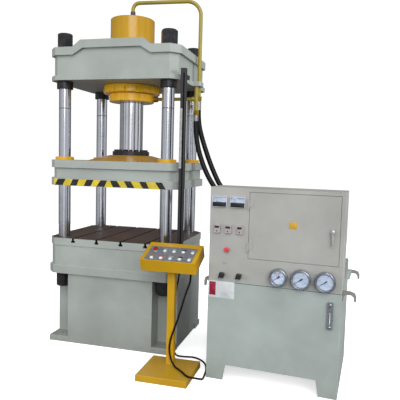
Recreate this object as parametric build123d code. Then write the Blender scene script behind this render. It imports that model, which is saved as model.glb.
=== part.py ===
from build123d import *
import math
import os

# Four-column hydraulic press with its control pedestal and its hydraulic power unit.
# Millimetres, +Z up. Origin: on the floor, under the axis of the ram.
# +X runs to the right along the front of the press, +Y to the rear.

# Columns and the three heavy plates that they carry
COLUMN_D = 105.0
COLUMN_X = 480.0
COLUMN_Y = 360.0
COLUMN_BOTTOM = 508.0
COLUMN_TOP = 2712.0
COLUMN_FIT = 0.1
GUIDE_FIT = 0.08
PLATE_W = 1190.0
PLATE_DEPTH = 924.0
CORNER_CUT = 75.0

# Bed, table and legs
TABLE_TOP = 945.0
TABLE_THICK = 65.0
BED_BOTTOM = 630.0
BED_BAND = 75.0
BED_WALL = 20.0
LEG_FRONT = 438.0
LEG_SIDE = 575.0
LEG_WALL = 10.0
FRONT_PANEL_W = 796.0
NOTCH_BACK = 280.0
FOOT_THICK = 50.0
FOOT_REACH = 580.0
ANCHOR_X = 490.0
ANCHOR_Y = 350.0
ANCHOR_D = 28.0
SLOT_PITCH = 225.0
SLOT_COUNT = 4
SLOT_NECK = 20.0
SLOT_HEAD = 36.0
SLOT_NECK_DEPTH = 20.0
SLOT_DEPTH = 38.0

# Slide, at rest at the height that the photograph shows
SLIDE_BOTTOM = 1408.0
SLIDE_PLATE = 67.0
SLIDE_TOP = 1630.0
SLIDE_INSET = 22.0
BOSS_TOP = 1684.0
BOSS_R = 400.0
BOSS_TOP_R = 195.0
GUIDE_BORE_R = 68.0
GUIDE_FLANGE_R = 80.0
GUIDE_FLANGE_H = 28.0
ROD_FLANGE_R = 170.0
ROD_FLANGE_H = 38.0

# Crown
CROWN_BOTTOM = 2313.0
CROWN_PLATE = 40.0
CROWN_INSET = 24.0
CROWN_WALL = 25.0
SHOULDER_TOP = 2592.0
RAISED_TOP = 2647.0
TOP_PLATE = 68.0
SHOULDER_X = 355.0
RAISED_X = 284.0
COLLAR_R = 70.0
COLLAR_H = 65.0
NUT_H = 130.0
UPPER_NUT_FLATS = 126.0
LOWER_NUT_FLATS = 134.0

# Ram cylinder
BARREL_R = 200.0
BARREL_NECK_R = 185.0
BARREL_BORE_R = 150.0
BARREL_TOP = 2910.0
BARREL_LID = 38.0
CLAMP_R = 258.0
CLAMP_H = 70.0
GLAND_R = 205.0
GLAND_H = 73.0
ROD_R = 107.5
PISTON_H = 100.0
PISTON_BOTTOM = 2562.0

# Pipes and hoses
PIPE_D = 34.0
PIPE_WALL = 4.0
UPPER_PIPE_Z = 3068.0
UPPER_PIPE_END = 2229.0
UPPER_DROP = (632.0, 45.0)
LOWER_PIPE_D = 30.0
LOWER_PIPE_Z = 2201.0
TEE_AT = (622.0, 0.0)
TEE_D = 36.0
TEE_TOP = 2340.0
TEE_END = 2101.0
HOSE_D = 38.0
SWIVEL_H = 40.0
FERRULE_D = 44.0
FRONT_HOSE_TOP = 2005.0
REAR_HOSE_TOP = 2105.0
HOSE_LOW_END = 983.0
CABLE_D = 12.0

# Limit-switch rail
RAIL_AT = (630.0, -415.0)
RAIL_SIZE = 44.0
RAIL_BOTTOM = 800.0
RAIL_TOP = 2397.0
SCALE_BOTTOM = 1587.0
SCALE_TOP = 2074.0

# Control pedestal
STAND_X = 675.0
STAND_Y = -781.0
STAND_W = 400.0
STAND_DEPTH = 394.0
STAND_H = 50.0
STAND_SHEET = 4.0
POST_X = 658.0
POST_Y = -692.0
POST_SIZE = 60.0
POST_WALL = 3.0
DESK_X = 663.0
DESK_FRONT_Y = -850.0
DESK_FRONT_Z = 895.0
DESK_TILT = 21.0
DESK_W = 440.0
DESK_LENGTH = 268.0
DESK_DEPTH = 96.0
DESK_SHEET = 3.0
PANEL_W = 374.0
PANEL_LOW = 9.0
PANEL_HIGH = 207.0
PANEL_THICK = 3.0
DESK_GLAND = (159.0, 62.0)
GLAND_LENGTH = 26.0
BUTTON_PITCH = 74.5
BUTTON_FIRST = -135.0
BUTTON_ROWS = (38.0, 141.0)
BEZEL_R = 15.0
BEZEL_H = 4.0
CAP_R = 11.0
STEM_R = 6.0
BUTTON_FIT = 0.3
MUSHROOM_R = 18.0

# Power unit: tank below, electric cabinet above its front
UNIT_X = 960.0
UNIT_Y = -739.0
UNIT_TURN = -4.3
UNIT_W = 975.0
UNIT_DEPTH = 850.0
TANK_BOTTOM = 119.0
TANK_TOP = 757.0
TANK_SHEET = 6.0
LID_THICK = 12.0
CABINET_DEPTH = 300.0
CABINET_TOP = 1465.0
CABINET_SHEET = 3.0
FOOT_W = 132.0
FOOT_W_TOP = 152.0
DOOR_LEFT = 299.0
DOOR_RIGHT = 946.0
DOOR_LOW = 948.0
DOOR_HIGH = 1438.0
DOOR_GAP = 2.5
DOOR_SHEET = 2.5
DOOR_DEPTH = 18.0
HINGE_R = 6.0
HINGE_PIN_R = 3.0
HINGE_AXIS = (294.0, -7.0)
HINGE_Z = (1030.0, 1345.0)
HINGE_H = 70.0
METER_AT = ((75.0, 1359.0), (212.5, 1359.0))
METER_W = 112.0
METER_H = 78.0
METER_DEPTH = 18.0
METER_BAND = 34.0
GAUGE_AT = ((534.0, 839.0), (694.0, 839.0), (862.0, 839.0))
GAUGE_R = (67.0, 74.0, 74.0)
GAUGE_DEPTH = 46.0
GAUGE_RIM = 7.0
GAUGE_RECESS = 16.0
NEEDLE_LIFT = 3.0
PIVOT_R = 2.5
METER_PIVOT_R = 1.5
PIVOT_FIT = 0.06
GAUGE_REST = (-125.0, -125.0, -125.0)
METER_PIVOT = 25.0
METER_REST = -40.0
RELAY_AT = (60.0, 144.0, 233.0)
RELAY_Z = 1158.0
RELAY_W = 40.0
RELAY_H = 73.0
LIGHT_BUTTON_AT = (139.0, 1002.0)
KNOB_AT = ((110.0, 812.0), (241.0, 814.0))
KNOB_R = 22.5
KNOB_LENGTH = 38.0
HANDLE_AT = (896.0, 1190.0)
HANDLE_LENGTH = 96.0
LEVEL_AT = (902.0, 600.0)
LEVEL_W = 42.0
LEVEL_H = 193.0
HOOK_REACH_LEFT = 50.0
HOOK_REACH_RIGHT = 95.0
MOTOR_AXIS_Z = 901.0
MOTOR_V = 560.0
MANIFOLD = (690.0, 978.0, 500.0, 690.0)
MANIFOLD_TOP = 889.0
PORT_H = 24.0
HOSE_PORTS = ((728.0, 560.0), (728.0, 636.0))

unit_place = Pos(UNIT_X, UNIT_Y, 0) * Rot(0, 0, UNIT_TURN)
desk_place = Pos(DESK_X, DESK_FRONT_Y, DESK_FRONT_Z) * Rot(DESK_TILT, 0, 0)
column_r = COLUMN_D / 2
column_places = [(x, y) for x in (-COLUMN_X, COLUMN_X) for y in (-COLUMN_Y, COLUMN_Y)]

os.makedirs("parts", exist_ok=True)


def block(x0, x1, y0, y1, z0, z1):
    """A box between two corners."""
    return Pos((x0 + x1) / 2, (y0 + y1) / 2, (z0 + z1) / 2) * Box(x1 - x0, y1 - y0, z1 - z0)


def post(r, z0, z1, x=0.0, y=0.0):
    """An upright cylinder."""
    return Pos(x, y, (z0 + z1) / 2) * Cylinder(r, z1 - z0)


def bar_x(r, x0, x1, y, z):
    """A cylinder that lies along X."""
    return Pos((x0 + x1) / 2, y, z) * Rot(0, 90, 0) * Cylinder(r, x1 - x0)


def bar_y(r, y0, y1, x, z):
    """A cylinder that lies along Y."""
    return Pos(x, (y0 + y1) / 2, z) * Rot(90, 0, 0) * Cylinder(r, y1 - y0)


def hexagon(flats, z0, z1, x=0.0, y=0.0):
    """An upright hexagonal prism, given its size across the flats."""
    outline = RegularPolygon(flats / math.sqrt(3), 6)
    return Pos(x, y, z0) * extrude(outline, z1 - z0)


def cut_corner_plate(width, depth, cut, z0, z1):
    """The plan outline that table, slide and crown share: a rectangle with cut corners."""
    half_w = width / 2
    half_d = depth / 2
    quarter = [(half_w, half_d - cut), (half_w - cut, half_d)]
    ring = []
    for sx, sy in ((1, 1), (-1, 1), (-1, -1), (1, -1)):
        pair = [(sx * px, sy * py) for px, py in quarter]
        ring += pair if sx * sy > 0 else pair[::-1]
    face = make_face(Polyline(*ring, close=True))
    return Pos(0, 0, z0) * extrude(face, z1 - z0)


def inset_plate(inset, z0, z1):
    """The shared plan outline, drawn in by an inset on every side."""
    shrink = inset * (2 - math.sqrt(2))
    return cut_corner_plate(PLATE_W - 2 * inset, PLATE_DEPTH - 2 * inset, CORNER_CUT - shrink, z0, z1)


def side_profile(points, y0, y1):
    """A closed outline in the X-Z plane, pushed out along Y."""
    face = make_face(Polyline(*[(px, pz) for px, pz in points], close=True))
    return Pos(0, y1, 0) * Rot(90, 0, 0) * extrude(face, y1 - y0)


def column_holes(r, z0, z1):
    return [post(r, z0, z1, x, y) for x, y in column_places]


def ring_of(shape, r, count, phase=0.0):
    """Copies of a shape around the Z axis."""
    out = []
    for i in range(count):
        out.append(Rot(0, 0, phase + 360.0 * i / count) * Pos(r, 0, 0) * shape)
    return out


def group(*solids):
    return Compound(children=[s for s in solids])


def save(shape, name):
    export_step(shape, "parts/" + name + ".step")


def routed_tube(points, radii, outer_r, inner_r=0.0):
    """A round tube along straight runs that tangent arcs join."""
    path = FilletPolyline(*points, radius=radii)
    start = Vector(*points[0])
    heading = (Vector(*points[1]) - start).normalized()
    section = Plane(origin=start, z_dir=heading) * Circle(outer_r)
    if inner_r:
        section -= Plane(origin=start, z_dir=heading) * Circle(inner_r)
    return sweep(section, path=path)


# Press frame


def base_frame():
    """Hollow welded bed on a leg box with notched front corners."""
    bed = cut_corner_plate(PLATE_W + 16, PLATE_DEPTH + 16, CORNER_CUT, BED_BOTTOM, BED_BOTTOM + BED_BAND)
    bed = chamfer(bed.edges().group_by(Axis.Z)[-1], 8)
    top = TABLE_TOP - TABLE_THICK
    bed += inset_plate(8, BED_BOTTOM + BED_BAND, top)
    cavity = inset_plate(8 + BED_WALL, BED_BOTTOM + 40, top)
    for tube in column_holes(column_r + 28, BED_BOTTOM, top):
        cavity -= tube
    cavity -= block(-12, 12, -PLATE_DEPTH / 2, PLATE_DEPTH / 2, BED_BOTTOM, top)
    cavity -= block(-PLATE_W / 2, PLATE_W / 2, -12, 12, BED_BOTTOM, top)
    bed -= cavity
    legs = leg_box()
    frame = bed + legs
    for hole in column_holes(column_r + COLUMN_FIT, BED_BOTTOM - 1, TABLE_TOP):
        frame -= hole
    for x in (-ANCHOR_X, ANCHOR_X):
        for y in (-ANCHOR_Y, ANCHOR_Y):
            frame -= post(ANCHOR_D / 2, -1, FOOT_THICK + 1, x, y)
    return frame


def leg_outline(inset, z0, z1):
    half = FRONT_PANEL_W / 2 - inset
    side = LEG_SIDE - inset
    front = -LEG_FRONT + inset
    notch = -NOTCH_BACK + inset
    rear = LEG_FRONT - inset
    pts = [(-half, front), (half, front), (half, notch), (side, notch), (side, rear)]
    pts += [(-side, rear), (-side, notch), (-half, notch)]
    return Pos(0, 0, z0) * extrude(make_face(Polyline(*pts, close=True)), z1 - z0)


def leg_box():
    box = leg_outline(0, 0, BED_BOTTOM)
    box -= leg_outline(LEG_WALL, -1, BED_BOTTOM)
    rear_window = block(-LEG_SIDE + 60, LEG_SIDE - 60, LEG_FRONT - 40, LEG_FRONT + 1, 110, 560)
    box -= fillet(rear_window.edges().filter_by(Axis.Y), 40)
    for sx in (-1, 1):
        inner = FRONT_PANEL_W / 2
        x0, x1 = sorted((sx * (inner - LEG_WALL), sx * FOOT_REACH))
        foot = block(x0, x1, -LEG_FRONT, -NOTCH_BACK + LEG_WALL, 0, FOOT_THICK)
        box += chamfer(foot.edges().group_by(Axis.Z)[-1].sort_by(Axis.Y)[0], 6)
        r0, r1 = sorted((sx * inner, sx * (FOOT_REACH + 8)))
        box += block(r0, r1, NOTCH_BACK, LEG_FRONT, 0, FOOT_THICK)
    return box


def work_table():
    low = TABLE_TOP - TABLE_THICK
    table = cut_corner_plate(PLATE_W, PLATE_DEPTH, CORNER_CUT, low, TABLE_TOP)
    table = chamfer(table.edges().group_by(Axis.Z)[-1], 2)
    for i in range(SLOT_COUNT):
        x = (i - (SLOT_COUNT - 1) / 2) * SLOT_PITCH
        y = PLATE_DEPTH / 2 + 1
        table -= block(x - SLOT_NECK / 2, x + SLOT_NECK / 2, -y, y, TABLE_TOP - SLOT_NECK_DEPTH - 1, TABLE_TOP + 1)
        table -= block(x - SLOT_HEAD / 2, x + SLOT_HEAD / 2, -y, y, TABLE_TOP - SLOT_DEPTH,
                       TABLE_TOP - SLOT_NECK_DEPTH)
    for hole in column_holes(column_r + COLUMN_FIT, low - 1, TABLE_TOP + 1):
        table -= hole
    return table


def columns():
    out = []
    for x, y in column_places:
        col = post(column_r, COLUMN_BOTTOM, COLUMN_TOP, x, y)
        out.append(chamfer(col.edges().filter_by(GeomType.CIRCLE), 4))
    return group(*out)


def chamfered_nut(flats, z0, z1, chamfer_top):
    """Hexagonal nut whose free end is turned down to a cone."""
    corner_r = flats / math.sqrt(3)
    nut = hexagon(flats, z0, z1)
    drop = 16.0
    if chamfer_top:
        cone = Pos(0, 0, z1 - drop / 2) * Cone(corner_r + 3, corner_r - 16, drop)
        keep = post(corner_r + 3, z0, z1 - drop) + cone
    else:
        cone = Pos(0, 0, z0 + drop / 2) * Cone(corner_r - 16, corner_r + 3, drop)
        keep = post(corner_r + 3, z0 + drop, z1) + cone
    nut &= keep
    return nut - post(column_r + COLUMN_FIT, z0 - 1, z1 + 1)


def column_nuts():
    upper = chamfered_nut(UPPER_NUT_FLATS, SHOULDER_TOP, SHOULDER_TOP + NUT_H, True)
    lower = chamfered_nut(LOWER_NUT_FLATS, BED_BOTTOM - NUT_H, BED_BOTTOM, False)
    out = []
    for x, y in column_places:
        out.append(Pos(x, y, 0) * upper)
        out.append(Pos(x, y, 0) * lower)
    return group(*out)


def crown_collars():
    z0 = CROWN_BOTTOM - COLLAR_H
    out = []
    for x, y in column_places:
        collar = post(COLLAR_R, z0, CROWN_BOTTOM, x, y)
        collar = chamfer(collar.edges().filter_by(GeomType.CIRCLE), 4)
        collar -= post(column_r + COLUMN_FIT, z0 - 1, CROWN_BOTTOM + 1, x, y)
        out.append(collar)
    return group(*out)


def crown_upper_line(lift, half_w):
    """Bent top plate: flat shoulders for the nuts and a raised middle for the cylinder."""
    low = SHOULDER_TOP - lift
    high = RAISED_TOP - lift
    slide_in = lift * 0.3
    return [(-half_w, low), (-SHOULDER_X, low), (-RAISED_X + slide_in, high),
            (RAISED_X - slide_in, high), (SHOULDER_X, low), (half_w, low)]


def crown_body():
    half = PLATE_W / 2
    floor_z = CROWN_BOTTOM
    upper = crown_upper_line(0, half)
    lower = crown_upper_line(TOP_PLATE, half)
    y1 = PLATE_DEPTH / 2
    envelope = cut_corner_plate(PLATE_W, PLATE_DEPTH, CORNER_CUT, floor_z, RAISED_TOP)
    top_plate = side_profile(upper + lower[::-1], -y1, y1) & envelope
    bottom_plate = cut_corner_plate(PLATE_W, PLATE_DEPTH, CORNER_CUT, floor_z, floor_z + CROWN_PLATE)
    under = side_profile([(-half, floor_z)] + lower + [(half, floor_z)], -y1, y1)
    walls = inset_plate(CROWN_INSET, floor_z, RAISED_TOP) & under
    cavity = inset_plate(CROWN_INSET + CROWN_WALL, floor_z + CROWN_PLATE, RAISED_TOP) & under
    for tube in column_holes(column_r + 30, floor_z, RAISED_TOP):
        cavity -= tube
    cavity -= post(BARREL_NECK_R + 30, floor_z, RAISED_TOP)
    return top_plate + bottom_plate + walls - cavity


def crown():
    body = crown_body()
    for hole in column_holes(column_r + COLUMN_FIT, CROWN_BOTTOM - 1, RAISED_TOP + 1):
        body -= hole
    body -= post(BARREL_NECK_R + 0.3, CROWN_BOTTOM - 1, RAISED_TOP + 1)
    body += pipe_bracket()
    return body


def pipe_bracket():
    """Clamp block on the right side of the crown that holds both pipes."""
    half = PLATE_W / 2
    arm = block(half - 5, UPPER_DROP[0] + 34, TEE_AT[1] - 36, UPPER_DROP[1] + 36, CROWN_BOTTOM, CROWN_BOTTOM + 40)
    arm = fillet(arm.edges().filter_by(Axis.Z).sort_by(Axis.X)[-2:], 18)
    z0 = CROWN_BOTTOM - 1
    arm -= post(PIPE_D / 2 + 0.3, z0, z0 + 60, *UPPER_DROP)
    arm -= post(TEE_D / 2 + 0.3, z0, z0 + 60, *TEE_AT)
    return arm


# Ram cylinder


def cylinder_barrel():
    outer = post(BARREL_R, RAISED_TOP, BARREL_TOP)
    outer = chamfer(outer.edges().group_by(Axis.Z)[-1], 4)
    low = CROWN_BOTTOM - CLAMP_H
    outer += post(BARREL_NECK_R, low, RAISED_TOP)
    outer -= post(BARREL_BORE_R, low - 1, BARREL_TOP - BARREL_LID)
    return outer - post(12, BARREL_TOP - BARREL_LID - 1, BARREL_TOP + 1)


def cylinder_clamp_nut():
    low = CROWN_BOTTOM - CLAMP_H
    ring = post(CLAMP_R, low, CROWN_BOTTOM)
    ring = chamfer(ring.edges().filter_by(GeomType.CIRCLE), 6)
    ring -= post(BARREL_NECK_R + 0.3, low - 1, CROWN_BOTTOM + 1)
    for notch in ring_of(post(14, low - 1, CROWN_BOTTOM - 22), CLAMP_R + 4, 16, 11.25):
        ring -= notch
    return ring


def cylinder_gland():
    top = CROWN_BOTTOM - CLAMP_H
    low = top - GLAND_H
    gland = post(GLAND_R, low, top)
    gland = chamfer(gland.edges().filter_by(GeomType.CIRCLE), 5)
    gland += post(BARREL_BORE_R - 0.3, top, top + 15)
    gland += bar_x(24, 150, GLAND_R + 16, 0, LOWER_PIPE_Z)
    gland -= post(ROD_R + GUIDE_FIT, low - 1, top + 16)
    for pocket in ring_of(post(11, low - 1, low + 14), 165, 12, 15):
        gland -= pocket
    return gland


def piston_rod():
    rod = post(ROD_R, BOSS_TOP, PISTON_BOTTOM)
    piston = post(BARREL_BORE_R - GUIDE_FIT, PISTON_BOTTOM, PISTON_BOTTOM + PISTON_H)
    piston = chamfer(piston.edges().filter_by(GeomType.CIRCLE), 3)
    for z in (22, 50, 78):
        groove = post(BARREL_BORE_R + 1, PISTON_BOTTOM + z - 4, PISTON_BOTTOM + z + 4)
        groove -= post(BARREL_BORE_R - 6, PISTON_BOTTOM + z - 5, PISTON_BOTTOM + z + 5)
        piston -= groove
    return rod + piston


# Slide


def slide_platen():
    low = SLIDE_BOTTOM
    bottom = cut_corner_plate(PLATE_W, PLATE_DEPTH, CORNER_CUT, low, low + SLIDE_PLATE)
    middle = inset_plate(SLIDE_INSET, low + SLIDE_PLATE, SLIDE_TOP - SLIDE_PLATE)
    top = cut_corner_plate(PLATE_W, PLATE_DEPTH, CORNER_CUT, SLIDE_TOP - SLIDE_PLATE, SLIDE_TOP)
    body = bottom + middle + top
    cavity = inset_plate(SLIDE_INSET + 25, low + 40, SLIDE_TOP - 40)
    for tube in column_holes(GUIDE_BORE_R + 22, low, SLIDE_TOP):
        cavity -= tube
    cavity -= post(BOSS_TOP_R, low, SLIDE_TOP)
    body -= cavity
    boss_h = BOSS_TOP - SLIDE_TOP
    body += Pos(0, 0, SLIDE_TOP + boss_h / 2) * Cone(BOSS_R, BOSS_TOP_R, boss_h)
    for hole in column_holes(GUIDE_BORE_R + 0.3, low - 1, SLIDE_TOP + 1):
        body -= hole
    return body


def guide_flanges():
    """Bronze-lined guide sleeves whose flanges are screwed to the slide from above."""
    top = SLIDE_TOP + GUIDE_FLANGE_H
    out = []
    for x, y in column_places:
        sleeve = post(GUIDE_BORE_R, SLIDE_BOTTOM + 5, SLIDE_TOP, x, y)
        flange = post(GUIDE_FLANGE_R, SLIDE_TOP, top, x, y)
        flange = chamfer(flange.edges().group_by(Axis.Z)[-1], 5)
        body = sleeve + flange - post(column_r + GUIDE_FIT, SLIDE_BOTTOM, top + 1, x, y)
        for screw in ring_of(post(5, top - 8, top + 1), 67, 6, 30):
            body -= Pos(x, y, 0) * screw
        out.append(body)
    return group(*out)


def rod_flange():
    """Bolted ring that ties the rod to the slide."""
    ring = post(ROD_FLANGE_R, BOSS_TOP, BOSS_TOP + ROD_FLANGE_H)
    ring = chamfer(ring.edges().filter_by(GeomType.CIRCLE), 4)
    head = post(15, BOSS_TOP + ROD_FLANGE_H, BOSS_TOP + ROD_FLANGE_H + 15)
    head = chamfer(head.edges().group_by(Axis.Z)[-1], 2)
    head -= hexagon(14, BOSS_TOP + ROD_FLANGE_H + 7, BOSS_TOP + ROD_FLANGE_H + 16)
    for bolt in ring_of(head, 141, 16):
        ring += bolt
    return ring - post(ROD_R + COLUMN_FIT, BOSS_TOP - 1, BOSS_TOP + ROD_FLANGE_H + 1)


# Pipework


def upper_pipe():
    start = BARREL_TOP + 80
    x, y = UPPER_DROP
    points = [(0, 0, start), (0, 0, UPPER_PIPE_Z), (x, y, UPPER_PIPE_Z), (x, y, UPPER_PIPE_END)]
    return routed_tube(points, [60, 130], PIPE_D / 2, PIPE_D / 2 - PIPE_WALL)


def lower_pipe():
    """Pipe from the gland to an upright tee."""
    r = LOWER_PIPE_D / 2
    pipe = bar_x(r, GLAND_R + 50, TEE_AT[0], 0, LOWER_PIPE_Z)
    tee = post(TEE_D / 2, TEE_END, TEE_TOP, *TEE_AT)
    tee = chamfer(tee.edges().group_by(Axis.Z)[-1], 3)
    body = pipe + tee + bar_x(r + 5, TEE_AT[0] - 40, TEE_AT[0], 0, LOWER_PIPE_Z)
    body -= bar_x(r - PIPE_WALL, GLAND_R + 49, TEE_AT[0], 0, LOWER_PIPE_Z)
    return body - post(r - PIPE_WALL, TEE_END - 1, TEE_TOP - 12, *TEE_AT)


def swivel(x, y, top):
    nut = hexagon(46, top - SWIVEL_H, top, x, y)
    return nut & post(25.4, top - SWIVEL_H, top, x, y)


def pipe_unions():
    """Screwed joints: cylinder top, gland port and the two swivel nuts of the hoses."""
    crest = hexagon(52, BARREL_TOP, BARREL_TOP + 46) + post(22, BARREL_TOP + 46, BARREL_TOP + 80)
    crest -= post(PIPE_D / 2 - PIPE_WALL, BARREL_TOP - 1, BARREL_TOP + 81)
    side = Pos(GLAND_R + 16, 0, LOWER_PIPE_Z) * Rot(0, 90, 0) * hexagon(46, 0, 34)
    side -= bar_x(LOWER_PIPE_D / 2 - PIPE_WALL, GLAND_R, GLAND_R + 60, 0, LOWER_PIPE_Z)
    nut_a = swivel(*TEE_AT, TEE_END)
    nut_b = swivel(*UPPER_DROP, UPPER_PIPE_END)
    return group(crest, side, nut_a, nut_b)


# Limit-switch rail


def limit_rail():
    x, y = RAIL_AT
    h = RAIL_SIZE / 2
    rail = block(x - h, x + h, y - h, y + h, RAIL_BOTTOM, RAIL_TOP)
    rail = fillet(rail.edges().filter_by(Axis.Z), 4)
    rail -= block(x - h + 4, x + h - 4, y - h + 4, y + h - 4, RAIL_BOTTOM + 4, RAIL_TOP - 4)
    rail -= post(8.3, RAIL_BOTTOM - 1, RAIL_BOTTOM + 5, x, y)
    rail -= block(x + 1, x + h - 9, y - h - 1, y - h + 6, RAIL_BOTTOM + 30, RAIL_TOP - 40)
    side = PLATE_W / 2
    for z0, reach in ((CROWN_BOTTOM + 5, side), (BED_BOTTOM + 185, side - 8)):
        foot = block(reach, x + h, y + h - 1, y + h + 70, z0, z0 + 30)
        foot -= bar_x(7, reach - 1, x + h + 1, y + h + 50, z0 + 15)
        rail += foot
    return rail


def stroke_scale():
    x, y = RAIL_AT
    h = RAIL_SIZE / 2
    plate = block(x - h, x, y - h - 3, y - h, SCALE_BOTTOM, SCALE_TOP)
    for z in (SCALE_BOTTOM + 12, SCALE_TOP - 12):
        plate -= bar_y(3, y - h - 4, y - h - 1.5, x - 11, z)
    return plate


# Control pedestal


def pedestal_stand():
    """Folded tray foot with a welded square post whose top follows the tilt of the desk."""
    x0 = STAND_X - STAND_W / 2
    x1 = STAND_X + STAND_W / 2
    y0 = STAND_Y - STAND_DEPTH / 2
    y1 = STAND_Y + STAND_DEPTH / 2
    foot = block(x0, x1, y0, y1, 0, STAND_H)
    foot = chamfer(foot.edges().group_by(Axis.Z)[-1], 3)
    t = STAND_SHEET
    foot -= block(x0 + t, x1 - t, y0 + t, y1 - t, -1, STAND_H - t)
    h = POST_SIZE / 2
    top = DESK_FRONT_Z + 60
    tube = fillet(block(POST_X - h, POST_X + h, POST_Y - h, POST_Y + h, STAND_H - 1, top).edges().filter_by(Axis.Z), 5)
    k = h - POST_WALL
    tube -= block(POST_X - k, POST_X + k, POST_Y - k, POST_Y + k, STAND_H, top + 1)
    above = desk_place * block(-DESK_W, DESK_W, -100, 500, -DESK_DEPTH, 300)
    return foot + (tube - above)


def button_places():
    spots = []
    for row in BUTTON_ROWS:
        for i in range(5):
            spots.append((BUTTON_FIRST + i * BUTTON_PITCH, row))
    return spots


def control_box():
    """Folded desk box in its own frame: u across, w up the slope, n out of the panel."""
    half = DESK_W / 2
    box = block(-half, half, 0, DESK_LENGTH, -DESK_DEPTH, 0)
    box = fillet(box.edges().filter_by(Axis.Z), 6)
    t = DESK_SHEET
    box -= block(-half + t, half - t, t, DESK_LENGTH - t, -DESK_DEPTH + t, -t)
    k = PANEL_W / 2 - 14
    box -= block(-k, k, PANEL_LOW + 14, PANEL_HIGH - 14, -t - 1, 1)
    box -= post(8.3, -DESK_DEPTH - 1, -DESK_DEPTH + t + 1, *DESK_GLAND)
    return desk_place * box


def control_panel():
    k = PANEL_W / 2
    plate = block(-k, k, PANEL_LOW, PANEL_HIGH, 0, PANEL_THICK)
    plate = fillet(plate.edges().filter_by(Axis.Z), 4)
    for u, w in button_places():
        plate -= post(CAP_R + BUTTON_FIT, -1, PANEL_THICK + 1, u, w)
    for su in (-1, 1):
        for w in (PANEL_LOW + 7, PANEL_HIGH - 7):
            plate -= post(2.2, -1, PANEL_THICK + 1, su * (k - 7), w)
    return desk_place * plate


def bezel(r, inner, height):
    ring = post(r, 0, height)
    ring = chamfer(ring.edges().group_by(Axis.Z)[-1], 1)
    return ring - post(inner, -1, height + 1)


def button_bezels():
    out = []
    ring = bezel(BEZEL_R, CAP_R + BUTTON_FIT, BEZEL_H)
    for u, w in button_places():
        out.append(desk_place * Pos(u, w, PANEL_THICK) * ring)
    u, z = LIGHT_BUTTON_AT
    out.append(unit_place * Pos(u, 0, z) * Rot(90, 0, 0) * ring)
    return group(*out)


def push_button():
    """Flush cap with its stem; the panel is at height 0."""
    cap = post(CAP_R, 1.0, BEZEL_H + 3.5)
    cap = fillet(cap.edges().group_by(Axis.Z)[-1], 1.5)
    return cap + post(STEM_R, -24, 1.0)


def mushroom_button():
    head = post(MUSHROOM_R, 16, 26)
    head = fillet(head.edges().group_by(Axis.Z)[-1], 6)
    return head + post(CAP_R, 1, 16) + post(STEM_R, -24, 1)


def cable_gland():
    """Hexagonal cable gland with a tapered nose; its seat is at height 0, nose up."""
    body = hexagon(22, 0, 9) + post(9.5, 9, 16)
    body += Pos(0, 0, GLAND_LENGTH - 5) * Cone(9.5, 7, 10)
    body += post(8, -8, 0)
    return body - post(4, -9, GLAND_LENGTH + 1)


# Power unit, in its own frame: u to the right, v to the rear, z up


def foot_cut():
    mid = UNIT_W / 2
    low = [(FOOT_W, -1), (FOOT_W_TOP, TANK_BOTTOM)]
    pts = low + [(2 * mid - x, z) for x, z in low[::-1]]
    return side_profile(pts, -10, UNIT_DEPTH + 10)


def tank_hook(reach):
    """Flame-cut carrying hook, flat side facing the front."""
    pts = [(-4, 700), (-4, 750), (1, 755), (1, 768), (6, 772), (reach * 0.55, 772), (reach * 0.86, 762), (reach, 738)]
    pts += [(reach, 704), (reach - 12, 704), (reach - 14, 736), (reach * 0.62, 752), (22, 750), (6, 735), (2, 700)]
    shape = side_profile(pts, -5, 5)
    return shape


def oil_tank():
    t = TANK_SHEET
    shell = block(0, UNIT_W, 0, UNIT_DEPTH, 0, TANK_TOP)
    shell = fillet(shell.edges().filter_by(Axis.Z), 5)
    shell -= block(t, UNIT_W - t, t, UNIT_DEPTH - t, TANK_BOTTOM + t, TANK_TOP + 1)
    shell -= block(t, UNIT_W - t, t, UNIT_DEPTH - t, -1, TANK_BOTTOM)
    shell -= foot_cut()
    for v in (60, UNIT_DEPTH - 50):
        shell += Pos(UNIT_W, v, 0) * tank_hook(HOOK_REACH_RIGHT)
        shell += Pos(0, v, 0) * mirror(tank_hook(HOOK_REACH_LEFT), about=Plane.YZ)
    shell -= bar_x(10, -20, t + 1, UNIT_DEPTH - 120, TANK_BOTTOM + 40)
    return unit_place * shell


def tank_lid():
    lid = block(0, UNIT_W, 0, UNIT_DEPTH, TANK_TOP, TANK_TOP + LID_THICK)
    lid = fillet(lid.edges().filter_by(Axis.Z), 5)
    for u in (30, UNIT_W / 2, UNIT_W - 30):
        lid -= post(6, TANK_TOP + 4, TANK_TOP + LID_THICK + 1, u, UNIT_DEPTH - 20)
    return unit_place * lid


def cabinet_shell():
    z0 = TANK_TOP + LID_THICK
    t = CABINET_SHEET
    shell = block(0, UNIT_W, 0, CABINET_DEPTH, z0, CABINET_TOP)
    shell = fillet(shell.edges().filter_by(Axis.Z), 4)
    shell -= block(t, UNIT_W - t, t, CABINET_DEPTH - t, z0 + t, CABINET_TOP - t)
    shell -= block(DOOR_LEFT, DOOR_RIGHT, -1, t + 1, DOOR_LOW, DOOR_HIGH)
    for u, z in KNOB_AT:
        shell -= bar_y(6.3, -1, t + 1, u, z)
    u, z = LIGHT_BUTTON_AT
    shell -= bar_y(CAP_R + BUTTON_FIT, -1, t + 1, u, z)
    for i in range(6):
        shell -= block(600, 860, CABINET_DEPTH - t - 1, CABINET_DEPTH + 1, 1300 + i * 16, 1306 + i * 16)
    return unit_place * shell


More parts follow.
